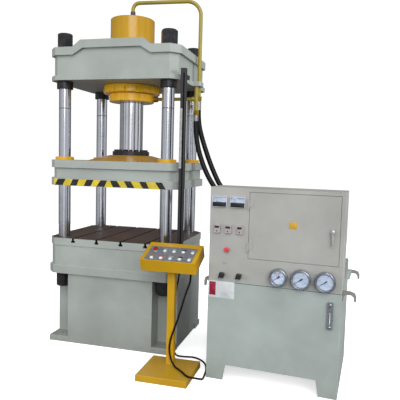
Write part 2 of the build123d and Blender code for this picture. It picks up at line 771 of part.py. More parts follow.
def cabinet_door():
    g = DOOR_GAP
    left, right = DOOR_LEFT + g, DOOR_RIGHT - g
    low, high = DOOR_LOW + g, DOOR_HIGH - g
    t = DOOR_SHEET
    door = block(left, right, 0, DOOR_DEPTH, low, high)
    door -= block(left + t, right - t, t, DOOR_DEPTH + 1, low + t, high - t)
    hu, hv = HINGE_AXIS
    for z in HINGE_Z:
        z0, z1 = z - HINGE_H / 2 + 20, z + HINGE_H / 2
        knuckle = post(HINGE_R, z0, z1, hu, hv)
        leaf = block(hu, left + 30, -3, 0, z0, z1)
        strap = block(hu, hu + HINGE_R, hv, 0, z0, z1)
        door += (knuckle + leaf + strap) - post(HINGE_PIN_R + 0.05, z0 - 1, z1 + 1, hu, hv)
    u, z = HANDLE_AT
    door += block(u - 14, u + 14, -4, 0, z - HANDLE_LENGTH - 18, z + 20)
    return unit_place * door


def door_hinges():
    """Fixed half of each hinge: a leaf on the cabinet front with its pin."""
    hu, hv = HINGE_AXIS
    out = []
    for z in HINGE_Z:
        z0 = z - HINGE_H / 2
        knuckle = post(HINGE_R, z0, z0 + 19.7, hu, hv)
        leaf = block(hu - 23, hu - HINGE_R - 1, -3, 0, z0, z + HINGE_H / 2 - 4)
        strap = block(hu - HINGE_R - 2, hu, -3, 0, z0, z0 + 19.7) + block(hu - HINGE_R, hu, hv, 0, z0, z0 + 19.7)
        pin = post(HINGE_PIN_R, z0, z + HINGE_H / 2 - 2, hu, hv)
        out.append(unit_place * (knuckle + leaf + strap + pin))
    return group(*out)


def door_handle():
    """Swing handle: lock barrel above a hanging grip."""
    u, z = HANDLE_AT
    barrel = bar_y(11, -14, -4.3, u, z)
    grip = block(u - 9, u + 9, -26, -14, z - HANDLE_LENGTH, z + 12)
    grip = fillet(grip.edges().filter_by(Axis.Y), 7)
    grip -= bar_y(3.2, -27, -20, u, z)
    return unit_place * (barrel + grip)


def meter_case():
    half_w = METER_W / 2
    half_h = METER_H / 2
    body = block(-half_w, half_w, -METER_DEPTH, 0, -half_h, half_h)
    body = fillet(body.edges().filter_by(Axis.Y), 4)
    body -= block(-half_w + 5, half_w - 5, -METER_DEPTH - 1, -5, -half_h + 5, half_h - 5)
    band = block(-half_w + 4, half_w - 4, -METER_DEPTH, -METER_DEPTH + 3, -half_h + 3, -half_h + METER_BAND)
    return body + band


def panel_meters():
    return group(*[unit_place * Pos(u, 0, z) * meter_case() for u, z in METER_AT])


def gauge_case(r):
    """Round pressure gauge: stepped back, deep case and a domed bezel."""
    half = [(0, 0), (r - 8, 0), (r - 8, -6), (r - 3, -9), (r - 3, -GAUGE_DEPTH + 14), (r, -GAUGE_DEPTH + 12)]
    half += [(r, -GAUGE_DEPTH + 4), (r - 3, -GAUGE_DEPTH), (r - GAUGE_RIM, -GAUGE_DEPTH)]
    half += [(r - GAUGE_RIM, -GAUGE_DEPTH + GAUGE_RECESS), (0, -GAUGE_DEPTH + GAUGE_RECESS)]
    face = make_face(Polyline(*half, close=True))
    return revolve(face, axis=Axis.Y)


def gauge_cases():
    out = []
    for (u, z), r in zip(GAUGE_AT, GAUGE_R):
        out.append(unit_place * Pos(u, 0, z) * gauge_case(r))
    return group(*out)


def contact_hands(face_v, r):
    """Two red set hands of the contact gauge, fused to its dial."""
    hub = bar_y(5, face_v - 1.2, face_v, 0, 0)
    for angle in (-38, 12):
        arm = block(-1.5, 1.5, face_v - 1.0, face_v, 3, r * 0.6)
        hub += Rot(0, angle, 0) * arm
    return hub


def instrument_dials():
    out = []
    for i, ((u, z), r) in enumerate(zip(GAUGE_AT, GAUGE_R)):
        back = -GAUGE_DEPTH + GAUGE_RECESS
        dial = bar_y(r - GAUGE_RIM - 1, back - 2, back, 0, 0)
        dial += bar_y(PIVOT_R, back - 2 - NEEDLE_LIFT - 4, back, 0, 0)
        if i == 0:
            dial += contact_hands(back - 2, r)
        out.append(unit_place * Pos(u, 0, z) * dial)
    for u, z in METER_AT:
        face = block(-METER_W / 2 + 6, METER_W / 2 - 6, -6.5, -5, -METER_H / 2 + 6, METER_H / 2 - 6)
        face += bar_y(METER_PIVOT_R, -11.5, -5, 0, -METER_PIVOT)
        out.append(unit_place * Pos(u, 0, z) * face)
    return group(*out)


def gauge_needle(r):
    """Tapered pointer with a hub and a short tail; it points up before it is turned."""
    v = -GAUGE_DEPTH + GAUGE_RECESS - 2 - NEEDLE_LIFT
    reach = r - GAUGE_RIM - 12
    pts = [(-4, -16), (4, -16), (2.6, 0), (0.8, reach), (-0.8, reach), (-2.6, 0)]
    blade = side_profile(pts, v - 1.2, v)
    needle = blade + bar_y(6, v - 3, v + 1.2, 0, 0)
    return needle - bar_y(PIVOT_R + PIVOT_FIT, v - 4, v + 2, 0, 0)


def meter_needle():
    v = -6.5 - 2.5
    pts = [(-1.6, -6), (1.6, -6), (0.6, 50), (-0.6, 50)]
    needle = side_profile(pts, v - 0.8, v) + bar_y(4, v - 1.6, v + 1.2, 0, 0)
    return needle - bar_y(METER_PIVOT_R + PIVOT_FIT, v - 3, v + 2, 0, 0)


def needle_at(needle, u, z, turn):
    return unit_place * Pos(u, 0, z) * Rot(0, turn, 0) * needle


def timer_relays():
    """Plug-in timer relays with a sunk display window."""
    out = []
    for u in RELAY_AT:
        x0, x1 = u - RELAY_W / 2, u + RELAY_W / 2
        z0, z1 = RELAY_Z - RELAY_H / 2, RELAY_Z + RELAY_H / 2
        body = block(x0, x1, -16, 0, z0, z1)
        body = fillet(body.edges().filter_by(Axis.Y), 3)
        body -= block(x0 + 4, x1 - 4, -17, -12, RELAY_Z + 1, RELAY_Z + 17)
        body -= bar_y(5, -17, -13, u, RELAY_Z - 18)
        out.append(unit_place * body)
    return group(*out)


def light_button():
    u, z = LIGHT_BUTTON_AT
    head = post(19, BEZEL_H + 4, BEZEL_H + 14)
    head = fillet(head.edges().group_by(Axis.Z)[-1], 4)
    body = head + post(CAP_R, 1, BEZEL_H + 4) + post(STEM_R, -24, 1)
    return unit_place * Pos(u, 0, z) * Rot(90, 0, 0) * body


def pressure_knob(u, z):
    """Fluted hand knob of a remote pressure valve."""
    knob = post(KNOB_R, 8, 8 + KNOB_LENGTH)
    knob = chamfer(knob.edges().group_by(Axis.Z)[-1], 4)
    for flute in ring_of(post(3.2, 12, 9 + KNOB_LENGTH), KNOB_R + 0.6, 12):
        knob -= flute
    body = knob + post(12, 0.3, 8) + post(6, -20, 0.3)
    return unit_place * Pos(u, 0, z) * Rot(90, 0, 0) * body


def level_gauge():
    """Sight-glass frame with its two hollow screws."""
    u, z = LEVEL_AT
    half_w, half_h = LEVEL_W / 2, LEVEL_H / 2
    body = block(u - half_w, u + half_w, -16, 0, z - half_h, z + half_h)
    body = fillet(body.edges().filter_by(Axis.Y), 8)
    body -= block(u - 9, u + 9, -17, -7, z - half_h + 34, z + half_h - 34)
    for dz in (-half_h + 17, half_h - 17):
        body += Pos(u, -16, z + dz) * Rot(90, 0, 0) * hexagon(24, 0, 8)
    return unit_place * body


def electric_motor():
    """Foot-mounted motor along u, with cooling fins, fan cowl and terminal box."""
    lid = TANK_TOP + LID_THICK
    c = MOTOR_AXIS_Z
    v = MOTOR_V
    body = bar_x(98, 300, 560, v, c)
    for i in range(24):
        if i % 6 == 0:
            continue
        fin = block(304, 556, v - 1.5, v + 1.5, c + 90, c + 112)
        angle = 15.0 * i
        body += Pos(0, v, c) * Rot(angle, 0, 0) * Pos(0, -v, -c) * fin
    body += bar_x(112, 560, 620, v, c) + bar_x(104, 286, 304, v, c)
    body -= bar_x(104, 604, 621, v, c) - bar_x(100, 604, 612, v, c)
    for k in range(5):
        body -= bar_x(18 + 18 * k + 8, 611, 622, v, c) - bar_x(18 + 18 * k, 610, 623, v, c)
    for u in (330, 500):
        foot = block(u - 22, u + 22, v - 108, v + 108, lid, lid + 16)
        web = block(u - 8, u + 8, v - 90, v + 90, lid, c)
        body += foot + web
    body += block(380, 480, v - 50, v + 50, c + 90, c + 150)
    return unit_place * body


def pump_unit():
    """Bell housing and axial pump ahead of the motor."""
    c = MOTOR_AXIS_Z
    v = MOTOR_V
    body = bar_x(100, 270, 286, v, c) + bar_x(74, 200, 272, v, c) + bar_x(84, 186, 202, v, c)
    body += bar_x(56, 90, 188, v, c) + bar_x(40, 76, 92, v, c)
    body += bar_y(16, v, v + 84, 130, c)
    body += post(18, TANK_TOP + LID_THICK, c, 130, v)
    return unit_place * body


def valve_block():
    """Drilled manifold with two solenoid valves on top and two hose ports."""
    lid = TANK_TOP + LID_THICK
    u0, u1, v0, v1 = MANIFOLD
    body = chamfer(block(u0, u1, v0, v1, lid, MANIFOLD_TOP).edges().filter_by(Axis.Z), 4)
    for u in (u0 + 150, u0 + 225):
        body += block(u - 24, u + 24, v0 + 30, v0 + 110, MANIFOLD_TOP, MANIFOLD_TOP + 42)
        body += bar_y(21, v0 - 34, v0 + 31, u, MANIFOLD_TOP + 22)
        body += bar_y(21, v0 + 109, v0 + 168, u, MANIFOLD_TOP + 22)
    for u, v in HOSE_PORTS:
        body += hexagon(40, MANIFOLD_TOP, MANIFOLD_TOP + 24, u, v)
    return unit_place * body


def air_breather():
    """Filler cap with a flanged neck."""
    lid = TANK_TOP + LID_THICK
    body = post(44, lid, lid + 6, 880, 770) + post(24, lid + 6, lid + 40, 880, 770)
    cap = post(38, lid + 40, lid + 88, 880, 770)
    return unit_place * (body + fillet(cap.edges().group_by(Axis.Z)[-1], 10))


def world(u, v, z):
    """A point of the power unit's frame in the shared frame."""
    a = math.radians(UNIT_TURN)
    return (UNIT_X + u * math.cos(a) - v * math.sin(a), UNIT_Y + u * math.sin(a) + v * math.cos(a), z)


def desk(u, w, n):
    """A point of the desk's frame in the shared frame."""
    a = math.radians(DESK_TILT)
    y = DESK_FRONT_Y + w * math.cos(a) - n * math.sin(a)
    z = DESK_FRONT_Z + w * math.sin(a) + n * math.cos(a)
    return (DESK_X + u, y, z)


# Cords: straight runs joined by tangent arcs


def bend_radii(points):
    """A radius for each corner of a route: 0.45 of the shorter run over the half turn's tangent."""
    radii = []
    for a, b, c in zip(points, points[1:], points[2:]):
        run_in = Vector(*b) - Vector(*a)
        run_out = Vector(*c) - Vector(*b)
        half_turn = math.radians(run_in.get_angle(run_out)) / 2
        radii.append(0.45 * min(run_in.length, run_out.length) / math.tan(half_turn))
    return radii


def cord(name, points, diameter):
    radii = bend_radii(points)
    tube = routed_tube(points, radii, diameter / 2)
    path = FilletPolyline(*points, radius=radii)
    runs = [(Vector(*b) - Vector(*a)).length for a, b in zip(points, points[1:])]
    share = tube.volume / (path.length * math.pi * diameter ** 2 / 4)
    print(name, "length", round(path.length), "smallest radius", round(min(radii)), "volume share", round(share, 4))
    print("  runs", [round(r) for r in runs])
    print("  radii", [round(r) for r in radii])
    return tube


def front_hose_route():
    low = world(*HOSE_PORTS[0], HOSE_LOW_END)
    return [(*TEE_AT, FRONT_HOSE_TOP), (*TEE_AT, 1830), (735, 0, 1520), (890, -15, 1325), (1110, -60, 1245),
            (1350, -130, 1255), (1560, -187, 1315), (low[0], low[1], 1190), low]


def rear_hose_route():
    low = world(*HOSE_PORTS[1], HOSE_LOW_END)
    return [(*UPPER_DROP, REAR_HOSE_TOP), (*UPPER_DROP, 2005), (672, 45, 1850), (765, 45, 1600), (880, 38, 1380),
            (1090, 10, 1270), (1330, -50, 1275), (1560, -112, 1330), (low[0], low[1], 1198), low]


def cable_route():
    """From the desk's gland over the tray foot, round on the floor and up to the rail's gland."""
    start = desk(*DESK_GLAND, -DESK_DEPTH - GLAND_LENGTH)
    below = desk(*DESK_GLAND, -DESK_DEPTH - GLAND_LENGTH - 66)
    tray = STAND_H + CABLE_D / 2 + 0.3
    low = CABLE_D / 2
    rail = (*RAIL_AT, RAIL_BOTTOM - GLAND_LENGTH)
    return [start, below, (782, -730, 635), (747, -737, 500), (706, -741, 365), (670, -743, 265),
            (660, -745, 165), (697, -750, tray), (794, -832, tray), (862, -912, tray), (928, -911, 52),
            (968, -862, 28), (950, -755, low), (941, -640, low), (896, -500, low), (790, -416, low), (690, -440, low),
            (622, -478, 26), (598, -460, 130), (597, -452, 290), (602, -460, 430), (608, -450, 560),
            (RAIL_AT[0], RAIL_AT[1], 676), rail]


def hose_ferrules():
    """Crimped ends of both hoses."""
    r = FERRULE_D / 2
    top = MANIFOLD_TOP + PORT_H
    out = [post(r, FRONT_HOSE_TOP, TEE_END - SWIVEL_H, *TEE_AT)]
    out.append(post(r, REAR_HOSE_TOP, UPPER_PIPE_END - SWIVEL_H, *UPPER_DROP))
    for u, v in HOSE_PORTS:
        x, y, z = world(u, v, top)
        out.append(post(r, z, HOSE_LOW_END, x, y))
    return group(*[chamfer(f.edges().filter_by(GeomType.CIRCLE), 2) for f in out])


def cable_glands():
    u, w = DESK_GLAND
    nose_down = Rot(180, 0, 0) * cable_gland()
    return group(desk_place * Pos(u, w, -DESK_DEPTH) * nose_down, Pos(*RAIL_AT, RAIL_BOTTOM) * nose_down)


PARTS = {
    "base_frame": base_frame,
    "work_table": work_table,
    "columns": columns,
    "column_nuts": column_nuts,
    "crown_collars": crown_collars,
    "crown": crown,
    "cylinder_barrel": cylinder_barrel,
    "cylinder_clamp_nut": cylinder_clamp_nut,
    "cylinder_gland": cylinder_gland,
    "piston_rod": piston_rod,
    "slide_platen": slide_platen,
    "guide_flanges": guide_flanges,
    "rod_flange": rod_flange,
    "upper_pipe": upper_pipe,
    "lower_pipe": lower_pipe,
    "pipe_unions": pipe_unions,
    "hose_ferrules": hose_ferrules,
    "limit_rail": limit_rail,
    "stroke_scale": stroke_scale,
    "pedestal_stand": pedestal_stand,
    "control_box": control_box,
    "control_panel": control_panel,
    "button_bezels": button_bezels,
    "cable_glands": cable_glands,
    "oil_tank": oil_tank,
    "tank_lid": tank_lid,
    "cabinet_shell": cabinet_shell,
    "cabinet_door": cabinet_door,
    "door_hinges": door_hinges,
    "door_handle": door_handle,
    "panel_meters": panel_meters,
    "gauge_cases": gauge_cases,
    "instrument_dials": instrument_dials,
    "timer_relays": timer_relays,
    "panel_button": light_button,
    "level_gauge": level_gauge,
    "electric_motor": electric_motor,
    "pump_unit": pump_unit,
    "valve_block": valve_block,
    "air_breather": air_breather,
}

for name, make in PARTS.items():
    save(make(), name)

save(cord("front hose", front_hose_route(), HOSE_D), "hose_front")
save(cord("rear hose", rear_hose_route(), HOSE_D), "hose_rear")
save(cord("control cable", cable_route(), CABLE_D), "control_cable")

for i, (u, w) in enumerate(button_places()):
    seat = desk_place * Pos(u, w, PANEL_THICK)
    if i == 5:
        save(seat * mushroom_button(), "emergency_stop")
    else:
        save(seat * push_button(), "push_button_" + str(i + 1 if i < 5 else i))

for i, ((u, z), r, turn) in enumerate(zip(GAUGE_AT, GAUGE_R, GAUGE_REST)):
    save(needle_at(gauge_needle(r), u, z, turn), "gauge_needle_" + str(i + 1))

for i, (u, z) in enumerate(METER_AT):
    save(needle_at(meter_needle(), u, z - METER_PIVOT, METER_REST), "meter_needle_" + str(i + 1))

for i, (u, z) in enumerate(KNOB_AT):
    save(pressure_knob(u, z), "pressure_knob_" + str(i + 1))
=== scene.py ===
# %% [markdown]
# # A four-column hydraulic press with its pedestal and power unit
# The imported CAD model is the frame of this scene: every node of it is already in place, in metres, with +Z up.
# This lesson dresses that frame. It sets the camera first, lays the hoses and the cable, then builds the finishes as
# shader nodes, and at last adds the small things that a factory machine carries: dials, screws, plates and wiring.

# %% Load the frame
from math import cos, hypot, pi, radians, sin

import bmesh
import bpy
from mathutils import Matrix, Vector


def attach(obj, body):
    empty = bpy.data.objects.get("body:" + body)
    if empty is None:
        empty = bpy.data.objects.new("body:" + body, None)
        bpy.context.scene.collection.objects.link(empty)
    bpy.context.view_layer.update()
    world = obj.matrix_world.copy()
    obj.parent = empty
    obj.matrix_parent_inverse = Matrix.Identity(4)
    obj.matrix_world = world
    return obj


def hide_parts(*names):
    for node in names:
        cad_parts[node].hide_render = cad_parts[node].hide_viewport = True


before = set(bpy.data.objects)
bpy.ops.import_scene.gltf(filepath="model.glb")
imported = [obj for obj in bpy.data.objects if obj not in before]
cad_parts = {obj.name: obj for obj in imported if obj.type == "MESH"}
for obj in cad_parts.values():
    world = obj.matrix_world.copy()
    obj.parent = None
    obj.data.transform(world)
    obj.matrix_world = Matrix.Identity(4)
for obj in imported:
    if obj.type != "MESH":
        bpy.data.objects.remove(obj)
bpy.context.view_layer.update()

# %% [markdown]
# ## The camera
# The photographer stood to the right of the press, at eye height, and turned to the left. A camera's lens is found
# from the focal length in pixels: 494.5 pixels on a picture 400 pixels wide is 44.5 mm on a 36 mm sensor.

# %% Camera at the photographer's place
EYE = Vector((1.8385, -4.3133, 1.6620))
YAW, PITCH, ROLL = 0.2624, -0.0812, 0.0266
FOCAL_PIXELS, PICTURE_WIDTH, SENSOR_WIDTH = 494.53, 400, 36.0


def new_object(name, data):
    """A new object in the scene, at the origin."""
    made = bpy.data.objects.new(name, data)
    bpy.context.scene.collection.objects.link(made)
    return made


forward = Vector((-sin(YAW) * cos(PITCH), cos(YAW) * cos(PITCH), sin(PITCH)))
level_right = Vector((cos(YAW), sin(YAW), 0.0))
level_up = level_right.cross(forward)
right = level_right * cos(ROLL) + level_up * sin(ROLL)
up = level_up * cos(ROLL) - level_right * sin(ROLL)

camera = new_object("camera", bpy.data.cameras.new("camera"))
camera.data.sensor_width = SENSOR_WIDTH
camera.data.lens = SENSOR_WIDTH * FOCAL_PIXELS / PICTURE_WIDTH
camera.data.clip_end = 200.0
camera.matrix_world = Matrix.Translation(EYE) @ Matrix((right, up, -forward)).transposed().to_4x4()
bpy.context.scene.camera = camera
print("lens", round(camera.data.lens, 2), "mm")

# %% [markdown]
# ## Places
# The power unit stands a little turned to the press, and the desk of the pedestal leans back. Two matrices carry
# these places, so that a small piece can be drawn flat in its own frame and then laid where it belongs.

# %% Frames of the power unit and of the desk


def shift(x, y, z=0.0):
    return Matrix.Translation((x, y, z))


def turn_about(axis, degrees):
    return Matrix.Rotation(radians(degrees), 4, axis)


HERE = Matrix.Identity(4)
UNIT = shift(0.960, -0.739) @ turn_about("Z", -4.3)
DESK = shift(0.663, -0.850, 0.895) @ turn_about("X", 21.0)
FACING = turn_about("X", 90.0)


def on_unit(u, z, out=0.0):
    """A frame on the unit's front: X to the right, Y up, Z out of the panel."""
    return UNIT @ shift(u, -out, z) @ FACING


def on_desk(u, w, out=0.0):
    """A frame on the desk's panel: X to the right, Y up the slope, Z out of the panel."""
    return DESK @ shift(u, w, out)


print("unit front", [round(c, 3) for c in on_unit(0.0, 0.0).translation])

# %% [markdown]
# ## Node helpers
# A finish is a small network of nodes. Short helpers keep the networks readable: one feeds a socket with a wire or a
# value, one makes a node with its inputs, and one turns a given colour into the renderer's linear values.

# %% Helpers for nodes and colours


def linear(tone, share=1.0):
    """A display colour from 0 to 255, times a share, as linear values with alpha."""
    levels = [c * share / 255.0 for c in tone]
    return (*[c / 12.92 if c <= 0.04045 else ((c + 0.055) / 1.055) ** 2.4 for c in levels], 1.0)


def feed(tree, value, socket):
    """Wires an output to a socket, or sets the socket to a plain value."""
    if hasattr(value, "is_output"):
        tree.links.new(value, socket)
    elif value is not None:
        socket.default_value = value


def feed_all(tree, node, **values):
    """Feeds inputs by name, with spaces written as underscores."""
    for label, value in values.items():
        feed(tree, value, node.inputs[label.replace("_", " ")])


def put(tree, kind, **values):
    """A new node. A leading s_ marks an input to feed; the other names are settings of the node."""
    node = tree.nodes.new(kind)
    for key, value in values.items():
        if not key.startswith("s_"):
            setattr(node, key, value)
    feed_all(tree, node, **{key[2:]: value for key, value in values.items() if key.startswith("s_")})
    return node


def maths(tree, kind, a, b=None, clamp=False):
    """A math node on one or two sockets or numbers."""
    node = put(tree, "ShaderNodeMath", operation=kind, use_clamp=clamp)
    feed(tree, a, node.inputs[0])
    feed(tree, b, node.inputs[1])
    return node.outputs[0]


def dot(tree, vector, axis):
    """How far a vector reaches along an axis."""
    node = put(tree, "ShaderNodeVectorMath", operation="DOT_PRODUCT")
    feed(tree, vector, node.inputs[0])
    feed(tree, axis, node.inputs[1])
    return node.outputs["Value"]


def blend(tree, factor, a, b):
    """A mix of two colours."""
    node = put(tree, "ShaderNodeMix", data_type="RGBA")
    for place, item in ((0, factor), (6, a), (7, b)):
        feed(tree, item, node.inputs[place])
    return node.outputs[2]


def ramp(tree, value, low, high, to_low=0.0, to_high=1.0):
    """Stretches a value from low..high to to_low..to_high, clamped."""
    return put(tree, "ShaderNodeMapRange", s_Value=value, s_From_Min=low, s_From_Max=high, s_To_Min=to_low,
               s_To_Max=to_high).outputs["Result"]


def object_place(tree):
    return put(tree, "ShaderNodeTexCoord").outputs["Object"]


def flat_normal(tree):
    return put(tree, "ShaderNodeNewGeometry").outputs["Normal"]


def axis_of(tree, vector, axis):
    return put(tree, "ShaderNodeSeparateXYZ", s_Vector=vector).outputs[axis]


def new_group(name, family, output, result_kind, **inputs):
    """An empty group: the tree, its inputs and its output. An input is a kind of socket, or the value of a float."""
    tree = bpy.data.node_groups.new(name, family + "NodeTree")
    tree.interface.new_socket(name=output, in_out="OUTPUT", socket_type="NodeSocket" + result_kind)
    for label, item in inputs.items():
        kind = item if isinstance(item, str) else "Float"
        socket = tree.interface.new_socket(name=label, in_out="INPUT", socket_type="NodeSocket" + kind)
        if kind is not item:
            socket.default_value = item
    return tree, put(tree, "NodeGroupInput").outputs, put(tree, "NodeGroupOutput").inputs[output]


print("helpers ready")

# %% [markdown]
# ## Effects that many finishes share
# Paint on a machine is never even. Its tone drifts over a hand's width, its skin has a fine orange peel, corners are
# rubbed through, and dust settles low down and on level faces. Each effect is one group that gives out a mask or a
# height, so that every paint can use it with its own strength.

# %% Cloud: a soft mottle on object coordinates
CLOUD, given, result = new_group("cloud", "Shader", "Value", "Float", Scale=5.0, Detail=4.0)
mottle = put(CLOUD, "ShaderNodeTexNoise", s_Roughness=0.55, s_Vector=object_place(CLOUD), s_Scale=given["Scale"],
             s_Detail=given["Detail"])
feed(CLOUD, mottle.outputs["Fac"], result)


def cloud(tree, scale, detail=4.0):
    return put(tree, "ShaderNodeGroup", node_tree=CLOUD, s_Scale=scale, s_Detail=detail).outputs[0]


print("group", CLOUD.name)

# %% Rubbed corners: where a rounded normal leaves the flat one
CORNERS, given, result = new_group("rubbed_corners", "Shader", "Mask", "Float", Radius=0.004, Amount=1.0,
                                   Scale=60.0)
rounded = put(CORNERS, "ShaderNodeBevel", samples=4, s_Radius=given["Radius"])
edge = ramp(CORNERS, dot(CORNERS, rounded.outputs[0], flat_normal(CORNERS)), 0.995, 0.85)
broken = ramp(CORNERS, cloud(CORNERS, given["Scale"]), 0.42, 0.62)
both = maths(CORNERS, "MULTIPLY", edge, broken)
feed(CORNERS, maths(CORNERS, "MULTIPLY", both, given["Amount"], clamp=True), result)


def rubbed(tree, radius, amount, scale=60.0):
    return put(tree, "ShaderNodeGroup", node_tree=CORNERS, s_Radius=radius, s_Amount=amount, s_Scale=scale).outputs[0]


print("group", CORNERS.name)

# %% Settled dust: level faces and the last hand's width above the floor
DUST, given, result = new_group("settled_dust", "Shader", "Mask", "Float", Level=0.5, Low=0.5, Height=0.35)
level = ramp(DUST, axis_of(DUST, flat_normal(DUST), "Z"), 0.6, 0.98)
near_floor = maths(DUST, "DIVIDE", axis_of(DUST, object_place(DUST), "Z"), given["Height"])
both = maths(DUST, "ADD", maths(DUST, "MULTIPLY", level, given["Level"]),
             maths(DUST, "MULTIPLY", ramp(DUST, near_floor, 1.0, 0.0), given["Low"]))
spread = ramp(DUST, cloud(DUST, 9.0), 0.35, 0.7, 0.25, 1.0)
feed(DUST, maths(DUST, "MULTIPLY", both, spread, clamp=True), result)


def dust(tree, level, low):
    return put(tree, "ShaderNodeGroup", node_tree=DUST, s_Level=level, s_Low=low).outputs[0]


print("group", DUST.name)

# %% [markdown]
# ## The hoses and the cable
# Two pressure hoses hang from the crown and run behind the electric cabinet to the manifold on the tank. A thinner
# cable leaves the desk, lies on the tray foot and the floor, and climbs to the limit-switch rail. A hose is one
# smooth curve, so each is a NURBS line over a few control points, with a round section.

# %% Rubber for hoses and cable


def start_finish(name):
    """A new material with its tree and its Principled shader."""
    finish = bpy.data.materials.new(name)
    finish.use_nodes = True
    return finish, finish.node_tree, finish.node_tree.nodes["Principled BSDF"]


def coat(tree, shader, colour, rough, height, strength, distance, **constants):
    """Feeds a shader its colour and roughness, a height as bump, and constants."""
    grain = put(tree, "ShaderNodeBump", s_Strength=strength, s_Distance=distance, s_Height=height)
    feed_all(tree, shader, Base_Color=colour, Roughness=rough, Normal=grain.outputs[0], **constants)


def mottled(name, tones, mottle, fade, rough, grain=None, over=None, span=(0.3, 0.7), **constants):
    """A finish whose tone and roughness drift with one cloud.

    Grain is the scale, detail, strength and depth of its bump. Over is a function that gives a mask, and its tone."""
    finish, tree, shader = start_finish(name)
    drift = cloud(tree, *mottle)
    colour = blend(tree, ramp(tree, drift, *fade), *tones)
    if over:
        colour = blend(tree, over[0](tree), colour, linear(over[1]))
    rough = ramp(tree, drift, *span, *rough)
    if grain:
        coat(tree, shader, colour, rough, cloud(tree, *grain[:2]), *grain[2:], **constants)
    else:
        feed_all(tree, shader, Base_Color=colour, Roughness=rough, **constants)
    return finish


def rubber(name, tone, roughness):
    return mottled(name, (linear(tone), linear([c + 9 for c in tone])), (14.0, 5.0), (0.35, 0.75),
                   (roughness - 0.1, roughness + 0.12), (900.0, 2.0, 0.25, 0.0004), Specular_IOR_Level=0.2)


HOSE_RUBBER = rubber("hose_rubber", (9, 9, 11), 0.42)
CABLE_RUBBER = rubber("cable_rubber", (8, 8, 10), 0.5)
print(HOSE_RUBBER.name, CABLE_RUBBER.name)

# %% Lay the cords
HOSE_RADIUS, CABLE_RADIUS = 0.0225, 0.0075
ON_FLOOR, ON_TRAY = 0.0078, 0.0580
HOSE_STARTS = ((0.622, 0.0, 2.005), (0.632, 0.045, 2.105))
PORT_U, PORT_V, PORT_Z, SLEEVE_Z = 0.728, (0.560, 0.636), 0.983, 0.913


def over_ports(z):
    """The points above the manifold's two ports, at a height."""
    return [UNIT @ Vector((PORT_U, v, z)) for v in PORT_V]


def curve_through(name, kind, points):
    """A curve over the points, and its one spline."""
    data = bpy.data.curves.new(name, "CURVE")
    data.dimensions = "3D"
    spline = data.splines.new(kind)
    spline.points.add(len(points) - 1)
    for point, place in zip(spline.points, points):
        point.co = (*place, 1.0)
    return data, spline


def lay_cord(name, points, radius, finish):
    """A round cord whose centre line is a NURBS curve over the control points."""
    data, line = curve_through(name, "NURBS", points)
    data.bevel_depth = radius
    data.bevel_resolution = 6
    data.resolution_u = 14
    line.order_u = 3
    line.use_endpoint_u = True
    line.use_smooth = True
    data.materials.append(finish)
    return new_object(name, data)


port_1, port_2 = over_ports(PORT_Z)
front_route = [HOSE_STARTS[0], (0.622, 0.0, 1.830), (0.735, 0.0, 1.520), (0.890, -0.015, 1.325),
               (1.110, -0.060, 1.245), (1.350, -0.130, 1.255), (1.560, -0.187, 1.315),
               (port_1.x, port_1.y, 1.190), tuple(port_1)]
rear_route = [HOSE_STARTS[1], (0.632, 0.045, 2.005), (0.672, 0.045, 1.850), (0.765, 0.045, 1.600),
              (0.880, 0.038, 1.380), (1.090, 0.010, 1.270), (1.330, -0.050, 1.275), (1.560, -0.112, 1.330),
              (port_2.x, port_2.y, 1.198), tuple(port_2)]
cable_route = [tuple(DESK @ Vector((0.159, 0.062, -0.122))), tuple(DESK @ Vector((0.159, 0.062, -0.188))),
               (0.782, -0.730, 0.635), (0.747, -0.737, 0.500), (0.706, -0.741, 0.365), (0.670, -0.743, 0.265),
               (0.660, -0.745, 0.165), (0.697, -0.750, ON_TRAY), (0.794, -0.832, ON_TRAY), (0.862, -0.912, ON_TRAY),
               (0.928, -0.911, ON_TRAY), (0.968, -0.862, 0.032), (0.950, -0.755, ON_FLOOR),
               (0.941, -0.640, ON_FLOOR), (0.896, -0.500, ON_FLOOR), (0.790, -0.416, ON_FLOOR),
               (0.690, -0.440, ON_FLOOR), (0.622, -0.478, 0.026), (0.598, -0.460, 0.130), (0.597, -0.452, 0.290),
               (0.602, -0.460, 0.430), (0.608, -0.450, 0.560), (0.630, -0.415, 0.676), (0.630, -0.415, 0.774)]

CORDS = (("pressure_hose_front", "hose_front", "hose_rubber", HOSE_RUBBER, front_route, HOSE_RADIUS, 1.851, "stiff",
          "hanging"),
         ("pressure_hose_rear", "hose_rear", "hose_rubber", HOSE_RUBBER, rear_route, HOSE_RADIUS, 1.904, "stiff",
          "hanging"),
         ("desk_cable", "control_cable", "cable_rubber", CABLE_RUBBER, cable_route, CABLE_RADIUS, 2.547, "medium",
          "loose"))
for name, node, slot_name, finish, route, radius, length, stiffness, lay in CORDS:
    cord = lay_cord(name, route, radius, finish)
    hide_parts(node)
    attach(cord, "press")
print("cords", len(CORDS))

# %% [markdown]
# ## Machine paint
# The frame, the tank and the cabinet wear one pale grey-green enamel. The cylinder, the slide's cone and the pedestal
# are a warm yellow. One recipe makes both: base tone, slow drift, rubbed corners down to a darker primer, dust, and a
# fine orange peel in the bump.

# %% Paint recipe
PEEL_SCALE, PEEL_DEPTH = 260.0, 0.0006
GREY_GREEN, GREY_WORN, UNIT_WORN = (147, 153, 148), (84, 82, 76), (92, 90, 84)
YELLOW_WORN, DUST_TONE = (96, 74, 26), (106, 101, 90)


